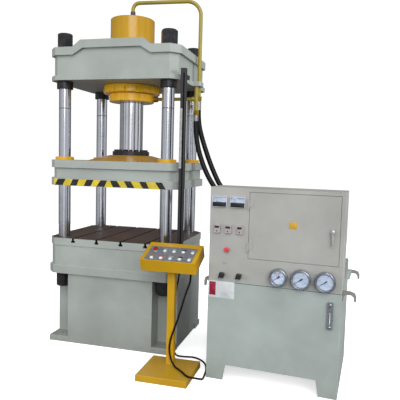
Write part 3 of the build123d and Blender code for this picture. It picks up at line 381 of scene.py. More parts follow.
def paint_layers(tree, tone, wear_tone, wear=0.5, level=0.25, low=0.45):
    """The colour of a worn enamel, the mask of its bare spots and the cloud that it drifts with."""
    drift = cloud(tree, 2.2, 3.0)
    colour = blend(tree, ramp(tree, drift, 0.35, 0.65), linear(tone, 0.94), linear(tone, 1.035))
    stains = ramp(tree, cloud(tree, 38.0, 3.0), 0.62, 0.8, 0.0, 0.18)
    colour = blend(tree, stains, colour, linear(tone, 0.8))
    bare = rubbed(tree, 0.0035, wear)
    colour = blend(tree, bare, colour, linear(wear_tone))
    return blend(tree, dust(tree, level, low), colour, linear(DUST_TONE)), bare, drift


def enamel(name, tone, wear_tone, roughness=0.38, wear=0.5, level=0.25, low=0.45, peel=0.06):
    finish, tree, shader = start_finish(name)
    colour, bare, drift = paint_layers(tree, tone, wear_tone, wear, level, low)
    smooth = ramp(tree, drift, 0.3, 0.7, roughness - 0.05, roughness + 0.08)
    rough = maths(tree, "ADD", smooth, maths(tree, "MULTIPLY", bare, 0.2))
    coat(tree, shader, colour, rough, cloud(tree, PEEL_SCALE, 2.0), peel, PEEL_DEPTH)
    return finish


FRAME_PAINT = enamel("frame_paint", GREY_GREEN, GREY_WORN)
UNIT_PAINT = enamel("unit_paint", (154, 163, 159), UNIT_WORN, wear=0.35, level=0.2, low=0.35)
CABINET_PAINT = enamel("cabinet_paint", (158, 158, 153), UNIT_WORN, wear=0.35, level=0.2, low=0.0)
YELLOW_PAINT = enamel("yellow_paint", (194, 148, 8), YELLOW_WORN, roughness=0.3, wear=0.45)
BARREL_PAINT = enamel("barrel_paint", (170, 128, 6), YELLOW_WORN, roughness=0.17, wear=0.35, peel=0.03)
PEDESTAL_PAINT = enamel("pedestal_paint", (186, 143, 6), (100, 78, 26), roughness=0.3, level=0.12, low=0.15)
# The clamp nut and gland wear the barrel's yellow in a lighter tone, which makes up for the shade under the crown:
# painted light.
GLAND_PAINT_LIT = enamel("gland_paint_lit", (224, 172, 20), YELLOW_WORN, roughness=0.17, wear=0.35, peel=0.03)
PIPE_PAINT = enamel("pipe_paint", (140, 126, 44), (96, 84, 38), roughness=0.35, wear=0.3)
print("enamels", FRAME_PAINT.name, YELLOW_PAINT.name)

# %% [markdown]
# ## Paint that changes with height
# The slide is grey on its sides and yellow on its top, a darker yellow that carries painted shade. The table is grey
# with a dark, oily steel top, and its slots take a still darker tone as painted shade in the recess. Both are one
# solid, so the finish itself reads the height of each point and its slope, and chooses the layer.

# %% Slide and table finishes
SLIDE_SHOULDER, TABLE_TOP, SLOT_REACH, SOFT_EDGE = 1.6292, 0.9434, 0.45, 0.0004


def above(tree, height):
    """1 above a height, 0 below it."""
    return ramp(tree, axis_of(tree, object_place(tree), "Z"), height - SOFT_EDGE, height + SOFT_EDGE)


def build_slide_paint():
    finish, tree, shader = start_finish("slide_paint")
    grey, _, drift = paint_layers(tree, GREY_GREEN, GREY_WORN)
    # The top's yellow is a darker copy of the yellow paint: painted shade over the yellow that the top really has.
    shaded_gold, _, _ = paint_layers(tree, (156, 114, 10), YELLOW_WORN, wear=0.3, level=0.12, low=0.0)
    coat(tree, shader, blend(tree, above(tree, SLIDE_SHOULDER), grey, shaded_gold), ramp(tree, drift, 0.3, 0.7, 0.32, 0.46),
         cloud(tree, PEEL_SCALE, 2.0), 0.06, PEEL_DEPTH)
    return finish


def in_slots(tree):
    """1 on the walls and floors of the T-slots: inside the table's width, and not facing front or back."""
    far = maths(tree, "ABSOLUTE", axis_of(tree, object_place(tree), "X"))
    frontal = maths(tree, "ABSOLUTE", axis_of(tree, flat_normal(tree), "Y"))
    walls = maths(tree, "MULTIPLY", maths(tree, "LESS_THAN", far, SLOT_REACH), maths(tree, "LESS_THAN", frontal, 0.5))
    return maths(tree, "MULTIPLY", walls, maths(tree, "SUBTRACT", 1.0, above(tree, TABLE_TOP)))


def build_table_steel():
    finish, tree, shader = start_finish("table_steel")
    grey, _, _ = paint_layers(tree, GREY_GREEN, GREY_WORN, level=0.0)
    stain = cloud(tree, 5.0, 6.0)
    streak = cloud(tree, 16.0, 5.0)
    film = blend(tree, ramp(tree, stain, 0.35, 0.68), linear((62, 43, 34)), linear((98, 72, 58)))
    film = blend(tree, ramp(tree, streak, 0.55, 0.75, 0.0, 0.7), film, linear((70, 64, 62)))
    slots = in_slots(tree)
    # The slot walls and floors are bare steel, darkened to (50, 38, 32) as painted shade in the recess.
    film = blend(tree, slots, film, linear((50, 38, 32)))
    steel = maths(tree, "MAXIMUM", above(tree, TABLE_TOP), slots)
    coat(tree, shader, blend(tree, steel, grey, film), ramp(tree, stain, 0.3, 0.75, 0.42, 0.68), streak, 0.1, 0.001,
         Metallic=maths(tree, "MULTIPLY", steel, 0.2))
    return finish


SLIDE_PAINT, TABLE_STEEL = build_slide_paint(), build_table_steel()
print(SLIDE_PAINT.name, TABLE_STEEL.name)

# %% [markdown]
# ## Bare metals
# Ground and hard-chromed columns mirror the room in long streaks. Zinc plate is paler and duller. Blackened nuts are
# nearly matt, with a little brown where oil has dried.

# %% Chrome, zinc and blackened steel
COLUMN_LINE, LINE_HEIGHT, COLLAR_LOW, COLLAR_HIGH = 2.078, 0.005, 2.85, 3.0


def polished(name, tone, roughness, over=None):
    """A mirror-like metal with faint smudges."""
    return mottled(name, (linear(tone), linear(tone, 0.9)), (6.0,), (0.5, 0.8), (roughness, roughness + 0.01),
                   over=over, span=(0.35, 0.75), Metallic=1.0)


def turned_line(tree):
    """The dark line round each column."""
    return maths(tree, "SUBTRACT", above(tree, COLUMN_LINE), above(tree, COLUMN_LINE + LINE_HEIGHT))


def plated(name, tone, roughness=0.38, metallic=0.9):
    return mottled(name, (linear(tone), linear(tone, 0.82)), (60.0, 4.0), (0.4, 0.7),
                   (roughness - 0.06, roughness + 0.1), (400.0, 2.0, 0.08, 0.0003), Metallic=metallic)


def bright_edges(tree):
    return rubbed(tree, 0.003, 0.8, 90.0)


def recoloured(base, name, choose):
    """A copy of a finish whose colour is chosen anew by a function of the tree and the old colour."""
    finish = base.copy()
    finish.name = name
    tree = finish.node_tree
    shader = tree.nodes["Principled BSDF"]
    old = shader.inputs["Base Color"].links[0].from_socket
    feed_all(tree, shader, Base_Color=choose(tree, old))
    return finish


def dark_collar(tree, colour):
    """The union at the top of the cylinder is dark and unplated, between two heights."""
    height = axis_of(tree, object_place(tree), "Z")
    from_low, to_high = maths(tree, "GREATER_THAN", height, COLLAR_LOW), maths(tree, "LESS_THAN", height, COLLAR_HIGH)
    collar = maths(tree, "MULTIPLY", from_low, to_high)
    shader = tree.nodes["Principled BSDF"]
    metal = shader.inputs["Metallic"].default_value
    feed_all(tree, shader, Metallic=ramp(tree, collar, 0.0, 1.0, metal, 0.0))
    return blend(tree, collar, colour, linear((62, 50, 42)))


COLUMN_CHROME = polished("column_chrome", (186, 188, 194), 0.14, (turned_line, (40, 40, 42)))
ROD_CHROME = polished("rod_chrome", (190, 192, 195), 0.10)
GAUGE_STEEL = plated("gauge_steel", (178, 183, 190), 0.16, 0.92)
HANDLE_CHROME = plated("handle_chrome", (190, 193, 190), 0.24, 0.45)
BEZEL_METAL = plated("bezel_metal", (214, 217, 214), 0.3, 0.3)
ZINC = plated("zinc_plate", (172, 173, 170))
SCALE_STEEL = plated("scale_steel", (188, 188, 184), 0.3)
PANEL_GREY = plated("panel_grey", (128, 131, 138), 0.42, 0.35)
PLATE_PALE = plated("plate_pale", (170, 172, 175), 0.35, 0.4)
LEVEL_FRAME = plated("level_frame", (138, 143, 150), 0.25, 0.45)
BLACK_STEEL = mottled("black_steel", (linear((36, 38, 42)), linear((62, 56, 52))), (24.0, 5.0), (0.45, 0.75),
                      (0.24, 0.48), (300.0, 3.0, 0.15, 0.0004), (bright_edges, (120, 120, 122)), Metallic=0.55)
UNION_METAL = recoloured(plated("brass_yellow", (150, 122, 44), 0.34), "union_metal", dark_collar)
print("metals", COLUMN_CHROME.name, BLACK_STEEL.name)

# %% [markdown]
# ## Plastics and castings
# Moulded parts have a fine spark-eroded grain. Small differences of tone and roughness keep each from looking like a
# flat colour swatch.

# %% Plastics, castings and printed faces
UNIT_WIDTH, DIAL_FACE_OUT, BETWEEN_GAUGES, HAIR = 0.975, 0.0324, 0.62, 0.0006


def moulded(name, tone, roughness=0.35, grain=500.0, depth=0.05):
    return mottled(name, (linear(tone), linear(tone, 0.88)), (30.0, 3.0), (0.35, 0.7),
                   (roughness - 0.06, roughness + 0.08), (grain, 2.0, depth, 0.0003))


def unit_axis(number):
    return UNIT.col[number].to_3d()


def primed_hooks(tree, colour):
    """The flame-cut hooks on both sides of the tank are left in dark primer."""
    start = unit_axis(0).dot(UNIT.translation)
    along = dot(tree, object_place(tree), unit_axis(0))
    hooks = maths(tree, "MAXIMUM", maths(tree, "LESS_THAN", along, start - HAIR),
                  maths(tree, "GREATER_THAN", along, start + UNIT_WIDTH + HAIR))
    rust = blend(tree, cloud(tree, 30.0), linear((84, 82, 84)), linear((124, 118, 110)))
    return blend(tree, hooks, colour, rust)


def coloured_hands(tree, colour):
    """What stands proud of a gauge's face is red on the first gauge and black on the others."""
    face = on_unit(BETWEEN_GAUGES, 0.0, DIAL_FACE_OUT).translation
    place = object_place(tree)
    first, proud = (maths(tree, "LESS_THAN", dot(tree, place, axis), axis.dot(face))
                    for axis in (unit_axis(0), unit_axis(1)))
    hand = blend(tree, first, linear((18, 18, 20)), linear((170, 26, 40)))
    return blend(tree, proud, colour, hand)


RAIL_BLACK = enamel("rail_black", (32, 33, 34), (78, 78, 77), roughness=0.42, wear=0.7, level=0.3, low=0.0)
VALVE_PAINT = enamel("valve_paint", (134, 140, 137), (84, 82, 78), roughness=0.4)
MOTOR_PAINT = enamel("motor_paint", (82, 94, 98), (62, 58, 54), roughness=0.45, wear=0.4)
PUMP_IRON = enamel("pump_iron", (80, 82, 82), (52, 49, 44), roughness=0.55, peel=0.3)
HOOK_PRIMER = enamel("hook_primer", (132, 128, 126), (78, 74, 72), roughness=0.5, wear=0.8, level=0.3, low=0.0)
BUTTON_WHITE = moulded("button_white", (226, 229, 222), 0.25)
BUTTON_RED = moulded("button_red", (150, 18, 22), 0.25)
LAMP_RED = moulded("lamp_red", (206, 62, 70), 0.2)
KNOB_BLACK = moulded("knob_black", (22, 29, 27), 0.4)
GLAND_BLACK = moulded("gland_black", (20, 20, 22), 0.5)
METER_CASE = moulded("meter_case", (196, 199, 210), 0.2)
BAND_BLACK = moulded("band_black", (8, 9, 12), 0.5)
NEEDLE_BLACK = moulded("needle_black", (16, 16, 18), 0.4)
RELAY_GREY = moulded("relay_grey", (164, 157, 154), 0.4)
BREATHER_BLACK = moulded("breather_black", (24, 24, 26), 0.4)
DISPLAY = moulded("relay_display", (28, 32, 34), 0.12)
CONTACTOR_IVORY = moulded("contactor_ivory", (180, 176, 164), 0.4)
OIL = moulded("oil_pale", (206, 208, 206), 0.15)
INK = moulded("dial_ink", (26, 27, 30), 0.5)
FINE_INK = moulded("fine_ink", (96, 102, 114), 0.5)
TANK_PAINT = recoloured(UNIT_PAINT, "tank_paint", primed_hooks)
DIAL_FACES = recoloured(moulded("dial_white", (172, 184, 202), 0.5, 900.0, 0.02), "dial_faces", coloured_hands)
print("plastics", BUTTON_WHITE.name, RELAY_GREY.name)

# %% Give every CAD node its finish
NODES_IN = (
    (FRAME_PAINT, "base_frame crown"), (TABLE_STEEL, "work_table"), (SLIDE_PAINT, "slide_platen"),
    (COLUMN_CHROME, "columns"), (BLACK_STEEL, "column_nuts crown_collars rod_flange"), (ROD_CHROME, "piston_rod"),
    (BARREL_PAINT, "cylinder_barrel"), (GLAND_PAINT_LIT, "cylinder_clamp_nut cylinder_gland"),
    (YELLOW_PAINT, "guide_flanges"), (PIPE_PAINT, "upper_pipe lower_pipe"), (UNION_METAL, "pipe_unions"),
    (ZINC, "hose_ferrules"), (RAIL_BLACK, "limit_rail"), (SCALE_STEEL, "stroke_scale"),
    (PEDESTAL_PAINT, "pedestal_stand control_box"), (PANEL_GREY, "control_panel"), (BEZEL_METAL, "button_bezels"),
    (GLAND_BLACK, "cable_glands"), (TANK_PAINT, "oil_tank"), (UNIT_PAINT, "tank_lid"),
    (CABINET_PAINT, "cabinet_shell cabinet_door door_hinges"), (HANDLE_CHROME, "door_handle"),
    (METER_CASE, "panel_meters"), (GAUGE_STEEL, "gauge_cases"), (DIAL_FACES, "instrument_dials"),
    (RELAY_GREY, "timer_relays"), (LAMP_RED, "panel_button"), (LEVEL_FRAME, "level_gauge"),
    (MOTOR_PAINT, "electric_motor"), (PUMP_IRON, "pump_unit"), (VALVE_PAINT, "valve_block"),
    (BREATHER_BLACK, "air_breather"), (BUTTON_RED, "emergency_stop"), (KNOB_BLACK, "pressure_knob_1 pressure_knob_2"),
    (NEEDLE_BLACK, "gauge_needle_1 gauge_needle_2 gauge_needle_3 meter_needle_1 meter_needle_2"),
    (BUTTON_WHITE, " ".join(f"push_button_{number}" for number in range(1, 10))),
)
dressed = [(node_name, finish) for finish, names in NODES_IN for node_name in names.split()]
for node_name, finish in dressed:
    for material_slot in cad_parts[node_name].material_slots:
        material_slot.material = finish
print("dressed", len(dressed), "nodes of", len(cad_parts))

# %% [markdown]
# ## Small pieces
# Everything below is small and sits on a CAD node. Each piece is drawn flat in its own frame as a bmesh, carried to its
# place by a matrix, and made to ride on the body that carries it. The object itself stays at the origin.

# %% From a flat drawing to a piece in its place


def to_mesh(drawn):
    """A bmesh as a mesh, doubles merged and faces outwards. A list becomes one mesh, and a mesh stays as it is."""
    if isinstance(drawn, bpy.types.Mesh):
        return drawn
    if isinstance(drawn, list):
        bm = bmesh.new()
        for item in drawn:
            bm.from_mesh(to_mesh(item))
    else:
        bm = drawn
        bmesh.ops.remove_doubles(bm, verts=bm.verts, dist=1e-6)
        bmesh.ops.recalc_face_normals(bm, faces=bm.faces)
    mesh = bpy.data.meshes.new("drawn")
    bm.to_mesh(mesh)
    bm.free()
    return mesh


def moved(drawn, place):
    mesh = to_mesh(drawn)
    mesh.transform(place)
    return mesh


def settle(name, drawn, place, finish, body="press", angle=32.0):
    """Moves a drawing to its place, shades it, and makes it a piece that rides on a body."""
    mesh = moved(drawn, place)
    if finish is not None:
        mesh.materials.clear()
        mesh.materials.append(finish)
    mesh.shade_smooth()
    mesh.set_sharp_from_angle(angle=radians(angle))
    mesh.name = name
    piece = new_object(name, mesh)
    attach(piece, body)
    return piece


def sides_between(bm, rows):
    """Faces from each closed row of vertices to the next."""
    for low, high in zip(rows, rows[1:]):
        for i in range(len(low)):
            j = (i + 1) % len(low)
            bm.faces.new((low[i], low[j], high[j], high[i]))


def stack(rings):
    """A closed body from rings of points: each ring is a list of (x, y, z) with the same count."""
    bm = bmesh.new()
    rows = [[bm.verts.new(p) for p in ring] for ring in rings]
    sides_between(bm, rows)
    bm.faces.new(rows[0][::-1])
    bm.faces.new(rows[-1])
    return bm


def round_ring(r, z, count=24):
    return [(r * cos(2 * pi * i / count), r * sin(2 * pi * i / count), z) for i in range(count)]


def turned(count, *levels):
    """A turned body from levels of (radius, height)."""
    return stack([round_ring(r, z, count) for r, z in levels])


def turned_ring(profile, count=64):
    """A ring turned round Z from a closed outline of (radius, height) points."""
    bm = bmesh.new()
    rows = [[bm.verts.new(p) for p in round_ring(r, z, count)] for r, z in profile]
    sides_between(bm, rows + rows[:1])
    return bm


def hex_ring(across, z, count=24):
    """A hexagon with as many points as the round rings of a screw."""
    turns = [2 * pi * i / count for i in range(count)]
    reach = [across / 2 / cos(a % (pi / 3) - pi / 6) for a in turns]
    return [(r * cos(a), r * sin(a), z) for r, a in zip(reach, turns)]


def plate_ring(width, height, radius, z, inset=0.0, steps=4):
    """A rounded rectangle in the flat, drawn in by an inset."""
    w, h = width / 2 - inset, height / 2 - inset
    r = max(radius - inset, 0.0002)
    out = []
    for cx, cy, first in ((w - r, h - r, 0), (-w + r, h - r, 90), (-w + r, -h + r, 180), (w - r, -h + r, 270)):
        for k in range(steps + 1):
            a = radians(first + 90.0 * k / steps)
            out.append((cx + r * cos(a), cy + r * sin(a), z))
    return out


def layered(width, height, radius, *levels):
    """A body of rounded rectangles, one for each level of (height, inset)."""
    return stack([plate_ring(width, height, radius, z, inset) for z, inset in levels])


def rounded_plate(width, height, thick, radius=0.002, soft=0.0004):
    """A plate that lies in the flat, with rounded corners and a softened upper edge."""
    return layered(width, height, radius, (0.0, 0.0), (thick - soft, 0.0), (thick - soft * 0.3, soft * 0.3),
                   (thick, soft))


def slab(outline, half):
    """An outline of (x, y) points, as thick as twice the half."""
    return stack([[(x, y, side) for x, y in outline] for side in (-half, half)])


print("drawing helpers ready")

# %% [markdown]
# ## Repeats with Geometry Nodes
# Screws, dial marks and terminals come in rings and rows. One tree sets copies of an item on a ring, a second one in
# a row. Both have named inputs, and both end in real geometry, so the result can be taken off as a plain mesh.

# %% Trees for a ring and for a row


def tree_with(name, **inputs):
    return new_group(name, "Geometry", "Geometry", "Geometry", **inputs, Finish="Material")


def end_tree(tree, given, result, geometry):
    """Realize Instances and Set Material at the end of a tree."""
    real = put(tree, "GeometryNodeRealizeInstances", s_Geometry=geometry)
    painted = put(tree, "GeometryNodeSetMaterial", s_Geometry=real.outputs[0], s_Material=given["Finish"])
    feed(tree, painted.outputs[0], result)


def copies_on(tree, given, points, rotation=None):
    item = put(tree, "GeometryNodeObjectInfo", s_Object=given["Item"])
    return put(tree, "GeometryNodeInstanceOnPoints", s_Points=points, s_Instance=item.outputs["Geometry"],
               s_Rotation=rotation).outputs[0]


RING, given, result = tree_with("ring_of_items", Item="Object", Count="Int", Radius="Float", First="Float",
                                Step="Float")
line = put(RING, "GeometryNodeMeshLine", s_Count=given["Count"])
number = put(RING, "GeometryNodeInputIndex").outputs[0]
turn = maths(RING, "ADD", maths(RING, "MULTIPLY", number, given["Step"]), given["First"])
across, upward = (maths(RING, "MULTIPLY", maths(RING, kind, turn), given["Radius"]) for kind in ("COSINE", "SINE"))
spot = put(RING, "ShaderNodeCombineXYZ", s_X=across, s_Y=upward)
on_ring = put(RING, "GeometryNodeSetPosition", s_Geometry=line.outputs[0], s_Position=spot.outputs[0])
heading = put(RING, "ShaderNodeCombineXYZ", s_Z=turn)
end_tree(RING, given, result, copies_on(RING, given, on_ring.outputs[0], heading.outputs[0]))

ROW, given, result = tree_with("row_of_items", Item="Object", Count="Int", Start="Vector", Step="Vector")
line = put(ROW, "GeometryNodeMeshLine", s_Count=given["Count"], s_Start_Location=given["Start"], s_Offset=given["Step"])
end_tree(ROW, given, result, copies_on(ROW, given, line.outputs[0]))


def taken_off(carrier):
    """The evaluated object as a plain mesh. The object itself goes."""
    ready = carrier.evaluated_get(bpy.context.evaluated_depsgraph_get())
    mesh = bpy.data.meshes.new_from_object(ready)
    bpy.data.objects.remove(carrier)
    return mesh


def run_tree(tree, data, **inputs):
    """Runs a tree on a mesh or a curve, with its inputs set by name."""
    carrier = new_object("carrier", data)
    modifier = carrier.modifiers.new("repeat", "NODES")
    modifier.node_group = tree
    for socket in tree.interface.items_tree:
        if socket.in_out == "INPUT" and socket.name in inputs:
            modifier[socket.identifier] = inputs[socket.name]
    return taken_off(carrier)


def grown(tree, bm, finish, **inputs):
    """Copies of an item, drawn as a bmesh, as a plain mesh."""
    item = new_object("item", to_mesh(bm))
    mesh = run_tree(tree, bpy.data.meshes.new("carrier"), Item=item, Finish=finish, **inputs)
    bpy.data.objects.remove(item)
    return mesh


def ring_of(bm, finish, count, radius, first, step):
    """Copies on a ring; first and step are in degrees."""
    return grown(RING, bm, finish, Count=count, Radius=radius, First=radians(first), Step=radians(step))


print("trees", RING.name, ROW.name)

# %% [markdown]
# ## Clear covers
# The gauges and meters have thin glass in front. A shadow ray passes it freely, so the dial behind stays bright, as
# behind a real thin pane.

# %% Thin glass


def mix_by(tree, factor, first, second, output_node):
    """Shows the first shader, and the second where the factor is 1."""
    chosen = put(tree, "ShaderNodeMixShader")
    for i, socket in enumerate((factor, first, second)):
        feed(tree, socket, chosen.inputs[i])
    feed(tree, chosen.outputs[0], tree.nodes[output_node].inputs["Surface"])


def build_glass():
    finish, tree, shader = start_finish("thin_glass")
    shader.inputs["Base Color"].default_value = (0.96, 0.98, 1.0, 1.0)
    shader.inputs["Transmission Weight"].default_value = 1.0
    shader.inputs["IOR"].default_value = 1.45
    feed_all(tree, shader, Roughness=ramp(tree, cloud(tree, 40.0, 3.0), 0.35, 0.8, 0.01, 0.05))
    mix_by(tree, put(tree, "ShaderNodeLightPath").outputs["Is Shadow Ray"], shader.outputs[0],
           put(tree, "ShaderNodeBsdfTransparent").outputs[0], "Material Output")
    return finish


GLASS = build_glass()
print(GLASS.name)

# %% [markdown]
# ## Pressure gauges
# Each gauge has a printed scale: a short mark for every division, a long one with a number for every fifth, and a
# domed pane. The scale runs over 250 degrees, which is how far the needle turns.

# %% Dial marks, numbers and panes
# Place on the unit's front, radius and the scale's last number
GAUGES = ((0.534, 0.839, 0.067, 25), (0.694, 0.839, 0.074, 40), (0.862, 0.839, 0.074, 40))
SCALE_START, PANE_EDGE, PANE_DOME = 215.0, 0.0009, 0.0012


def bar(length, width):
    """A thin printed bar along X, centred."""
    return stack([plate_ring(length, width, width * 0.3, z, 0.0, 1) for z in (0.0, 0.0001)])


def numeral(number, size, x, y):
    """A printed number as a flat mesh with its centre at x, y."""
    data = bpy.data.curves.new("numeral", "FONT")
    data.body = str(number)
    data.size = size
    data.align_x = data.align_y = "CENTER"
    data.extrude = 0.00005
    return moved(taken_off(new_object("numeral", data)), shift(x, y))


def dial_marks(start, fine, coarse, top, size, reach):
    """Fine and coarse marks, each as (length, width, count, radius, degrees between), and numbers at the coarse."""
    marks = [ring_of(bar(length, width), INK, count, radius, start, -step)
             for length, width, count, radius, step in (fine, coarse)]
    count, step = coarse[2], coarse[4]
    for i in range(count):
        a = radians(start - step * i)
        marks.append(numeral(top * i // (count - 1), size, reach * cos(a), reach * sin(a)))
    return marks


def broad_bezel(r):
    """The stepped bezel inside a gauge's rim: a sloping band, a groove and an inner lip that holds the pane."""
    out = r - 0.0075
    steps = ((0.0, 0.0003), (0.0, 0.0120), (0.0022, 0.0128), (0.0050, 0.0104), (0.0062, 0.0104), (0.0078, 0.0118),
             (0.0096, 0.0114), (0.0110, 0.0092), (0.0110, 0.0003))
    return turned_ring([(out - inward, height) for inward, height in steps])


def pane(r):
    """A domed pane, 0.9 mm thick at its edge."""
    dome = [(r * share, PANE_EDGE + PANE_DOME * (1 - share ** 2)) for share in (0.85, 0.6, 0.3)]
    return turned(48, (r, 0.0), (r, PANE_EDGE), *dome)


for number, (u, z, r, top) in enumerate(GAUGES, 1):
    reach = r - 0.0225
    marks = dial_marks(SCALE_START, (0.0045, 0.0009, 26, reach, 10.0), (0.008, 0.0016, 6, reach - 0.002, 50.0), top,
                       0.0085, reach - 0.0135)
    settle(f"gauge_marks_{number}", marks, on_unit(u, z, 0.0322), INK)
    settle(f"gauge_bezel_{number}", broad_bezel(r), on_unit(u, z, 0.0320), GAUGE_STEEL, angle=40.0)
    settle(f"gauge_pane_{number}", pane(r - 0.0190), on_unit(u, z, 0.0408), GLASS)
print("gauges", len(GAUGES))

# %% [markdown]
# ## Panel meters
# The two meters show volts and amperes on a curved scale, behind a pane. A thin black plate covers the movement
# below the scale.

# %% Meter scales, bands and panes
METERS = ((0.075, 1.359, 500), (0.2125, 1.359, 100))
METER_PIVOT = shift(0.0, -0.025)
for number, (u, z, top) in enumerate(METERS, 1):
    marks = dial_marks(130.0, (0.004, 0.0008, 17, 0.050, 5.0), (0.007, 0.0012, 5, 0.0485, 20.0), top, 0.0065, 0.041)
    settle(f"meter_marks_{number}", moved(marks, METER_PIVOT), on_unit(u, z, 0.0068), FINE_INK)
    settle(f"meter_band_{number}", rounded_plate(0.106, 0.033, 0.0006, 0.001, 0.0002),
           on_unit(u, z - 0.0205, 0.01805), BAND_BLACK)
    settle(f"meter_pane_{number}", rounded_plate(0.101, 0.037, 0.0012, 0.001, 0.0003),
           on_unit(u, z + 0.0150, 0.0155), GLASS)
print("meters", len(METERS))

# %% [markdown]
# ## Timer relays
# The photo shows broader relays than the solids. Each has a dark display in its upper window and a small setting
# wheel below.

# %% Relay cases, windows and wheels
RELAYS = ((0.060, 1.158), (0.144, 1.158), (0.233, 1.158))
RELAY_FRONT = 0.0161
cases = []
for number, (u, z) in enumerate(RELAYS, 1):
    case = layered(0.050, 0.068, 0.004, (0.0002, 0.0), (0.0142, 0.0), (0.0160, 0.0016))
    cases.append(moved(case, on_unit(u, z)))
    settle(f"relay_window_{number}", rounded_plate(0.035, 0.0155, 0.0012, 0.001), on_unit(u, z + 0.012, RELAY_FRONT),
           DISPLAY)
    wheel = turned(20, (0.0045, 0.0), (0.0045, 0.0022), (0.0038, 0.003), (0.0022, 0.003), (0.0016, 0.0024))
    settle(f"relay_wheel_{number}", wheel, on_unit(u, z - 0.018, RELAY_FRONT), KNOB_BLACK)
relays = settle("relay_cases", cases, HERE, RELAY_GREY, angle=40.0)
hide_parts("timer_relays")
print("relays", len(RELAYS))

# %% [markdown]
# ## Knobs, handle and level gauge
# The photo shows these pieces in more detail than their solids: square knobs with a short lever, a door handle that
# tapers, and a level gauge with two bright domed screws. What replaces a solid keeps its node's place and body.

# %% Square knobs with a lever
KNOBS = ((0.110, 0.812), (0.241, 0.814))
CAP_TURN, LEVER_TURN = -12.0, -48.0
LEVER = ((-0.005, 0.004), (-0.006, -0.030), (-0.003, -0.034), (0.003, -0.034), (0.006, -0.030), (0.005, 0.004))


def prism(outline, low, high, soft):
    """An upright body over an outline of (x, y) points, with a softened top."""
    cx, cy = (sum(values) / len(outline) for values in zip(*outline))
    shrink = soft / max(hypot(x - cx, y - cy) for x, y in outline)
    inner = [(x + (cx - x) * shrink, y + (cy - y) * shrink, high) for x, y in outline]
    return stack([[(x, y, low) for x, y in outline], [(x, y, high - soft) for x, y in outline], inner])


for number, (u, z) in enumerate(KNOBS, 1):
    cap = layered(0.036, 0.036, 0.006, (0.008, 0.0), (0.039, 0.0), (0.042, 0.002), (0.0424, 0.004))
    cap = moved(cap, turn_about("Z", CAP_TURN))
    lever = moved(prism(LEVER, 0.009, 0.026, 0.001), turn_about("Z", LEVER_TURN))
    foot = turned(32, (0.012, 0.0005), (0.012, 0.0079))
    knob = settle(f"square_knob_{number}", [cap, lever, foot], on_unit(u, z), KNOB_BLACK,
                  body=f"knob_{number}")
    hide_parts(f"pressure_knob_{number}")
print("knobs", len(KNOBS))

# %% Door handle
HANDLE_AT = (0.896, 1.190)
GRIP_BACK = 0.0142
# Height along the grip, width and reach out of the door
GRIP = ((0.012, 0.020, 0.0240), (0.004, 0.024, 0.0265), (-0.006, 0.024, 0.0270), (-0.016, 0.019, 0.0262),
        (-0.050, 0.015, 0.0256), (-0.084, 0.0105, 0.0248), (-0.094, 0.008, 0.0230))


def grip_ring(y, width, out):
    """One section of the grip: flat behind, rounded in front."""
    half = width / 2
    return [(-half, y, GRIP_BACK), (half, y, GRIP_BACK), (half, y, out - 0.004), (half * 0.6, y, out - 0.0008),
            (0.0, y, out), (-half * 0.6, y, out - 0.0008), (-half, y, out - 0.004)]


boss = turned_ring([(0.0002, 0.0262), (0.0105, 0.0262), (0.0122, 0.0270), (0.0122, 0.0290), (0.0100, 0.0300),
                    (0.0002, 0.0302)], 32)
handle = settle("tapered_handle", [stack([grip_ring(*level) for level in GRIP]), boss,
                                   turned(32, (0.011, 0.0043), (0.011, 0.0141))],
                on_unit(*HANDLE_AT), HANDLE_CHROME, body="handle", angle=38.0)
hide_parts("door_handle")
print("handle", handle.name)

# %% Level gauge screws
LEVEL_AT, SCREW_FROM_MIDDLE = (0.902, 0.600), 0.0795
domes = [moved(turned(32, (0.0118, 0.0162), (0.0118, 0.0245), (0.0100, 0.0278), (0.0060, 0.0296), (0.0015, 0.0300)),
               shift(0.0, dz)) for dz in (-SCREW_FROM_MIDDLE, SCREW_FROM_MIDDLE)]
settle("level_screws", domes, on_unit(*LEVEL_AT), GAUGE_STEEL, angle=50.0)
print("level gauge screws", len(domes))

# %% [markdown]
# ## Hooks and filler box
# Four flame-cut hooks carry the tank, heavier than a first look tells. Behind the cabinet a welded filler box stands
# on the lid. The hooks are drawn as side outlines and given a thickness, with both edges softened.

# %% Hooks and filler box
HOOK_DEPTHS = (0.060, 0.800)
HOOK_PLATE = ((0.0003, 0.6900), (0.0180, 0.6900), (0.0300, 0.7500), (0.0300, 0.7760), (0.0015, 0.7760),
              (0.0003, 0.7560))


def hook_mesh(reach):
    """A hook in the u, z plane, from its plate on the tank to the tip that hangs down."""
    tip = reach - 0.0002
    bm = slab([(0.0003, 0.7070), (0.0003, 0.7500), (0.0015, 0.7560), (0.0015, 0.7690), (0.0065, 0.7735),
               (reach * 0.55, 0.7735), (reach * 0.88, 0.7630), (tip, 0.7390), (tip, 0.7010),
               (reach - 0.0165, 0.7010), (reach - 0.0185, 0.7330), (reach * 0.62, 0.7470), (0.0220, 0.7470),
               (0.0085, 0.7310), (0.0065, 0.7070)], 0.0085)
    bmesh.ops.bevel(bm, geom=bm.edges[:], offset=0.0012, segments=2, affect="EDGES")
    return to_mesh(bm)


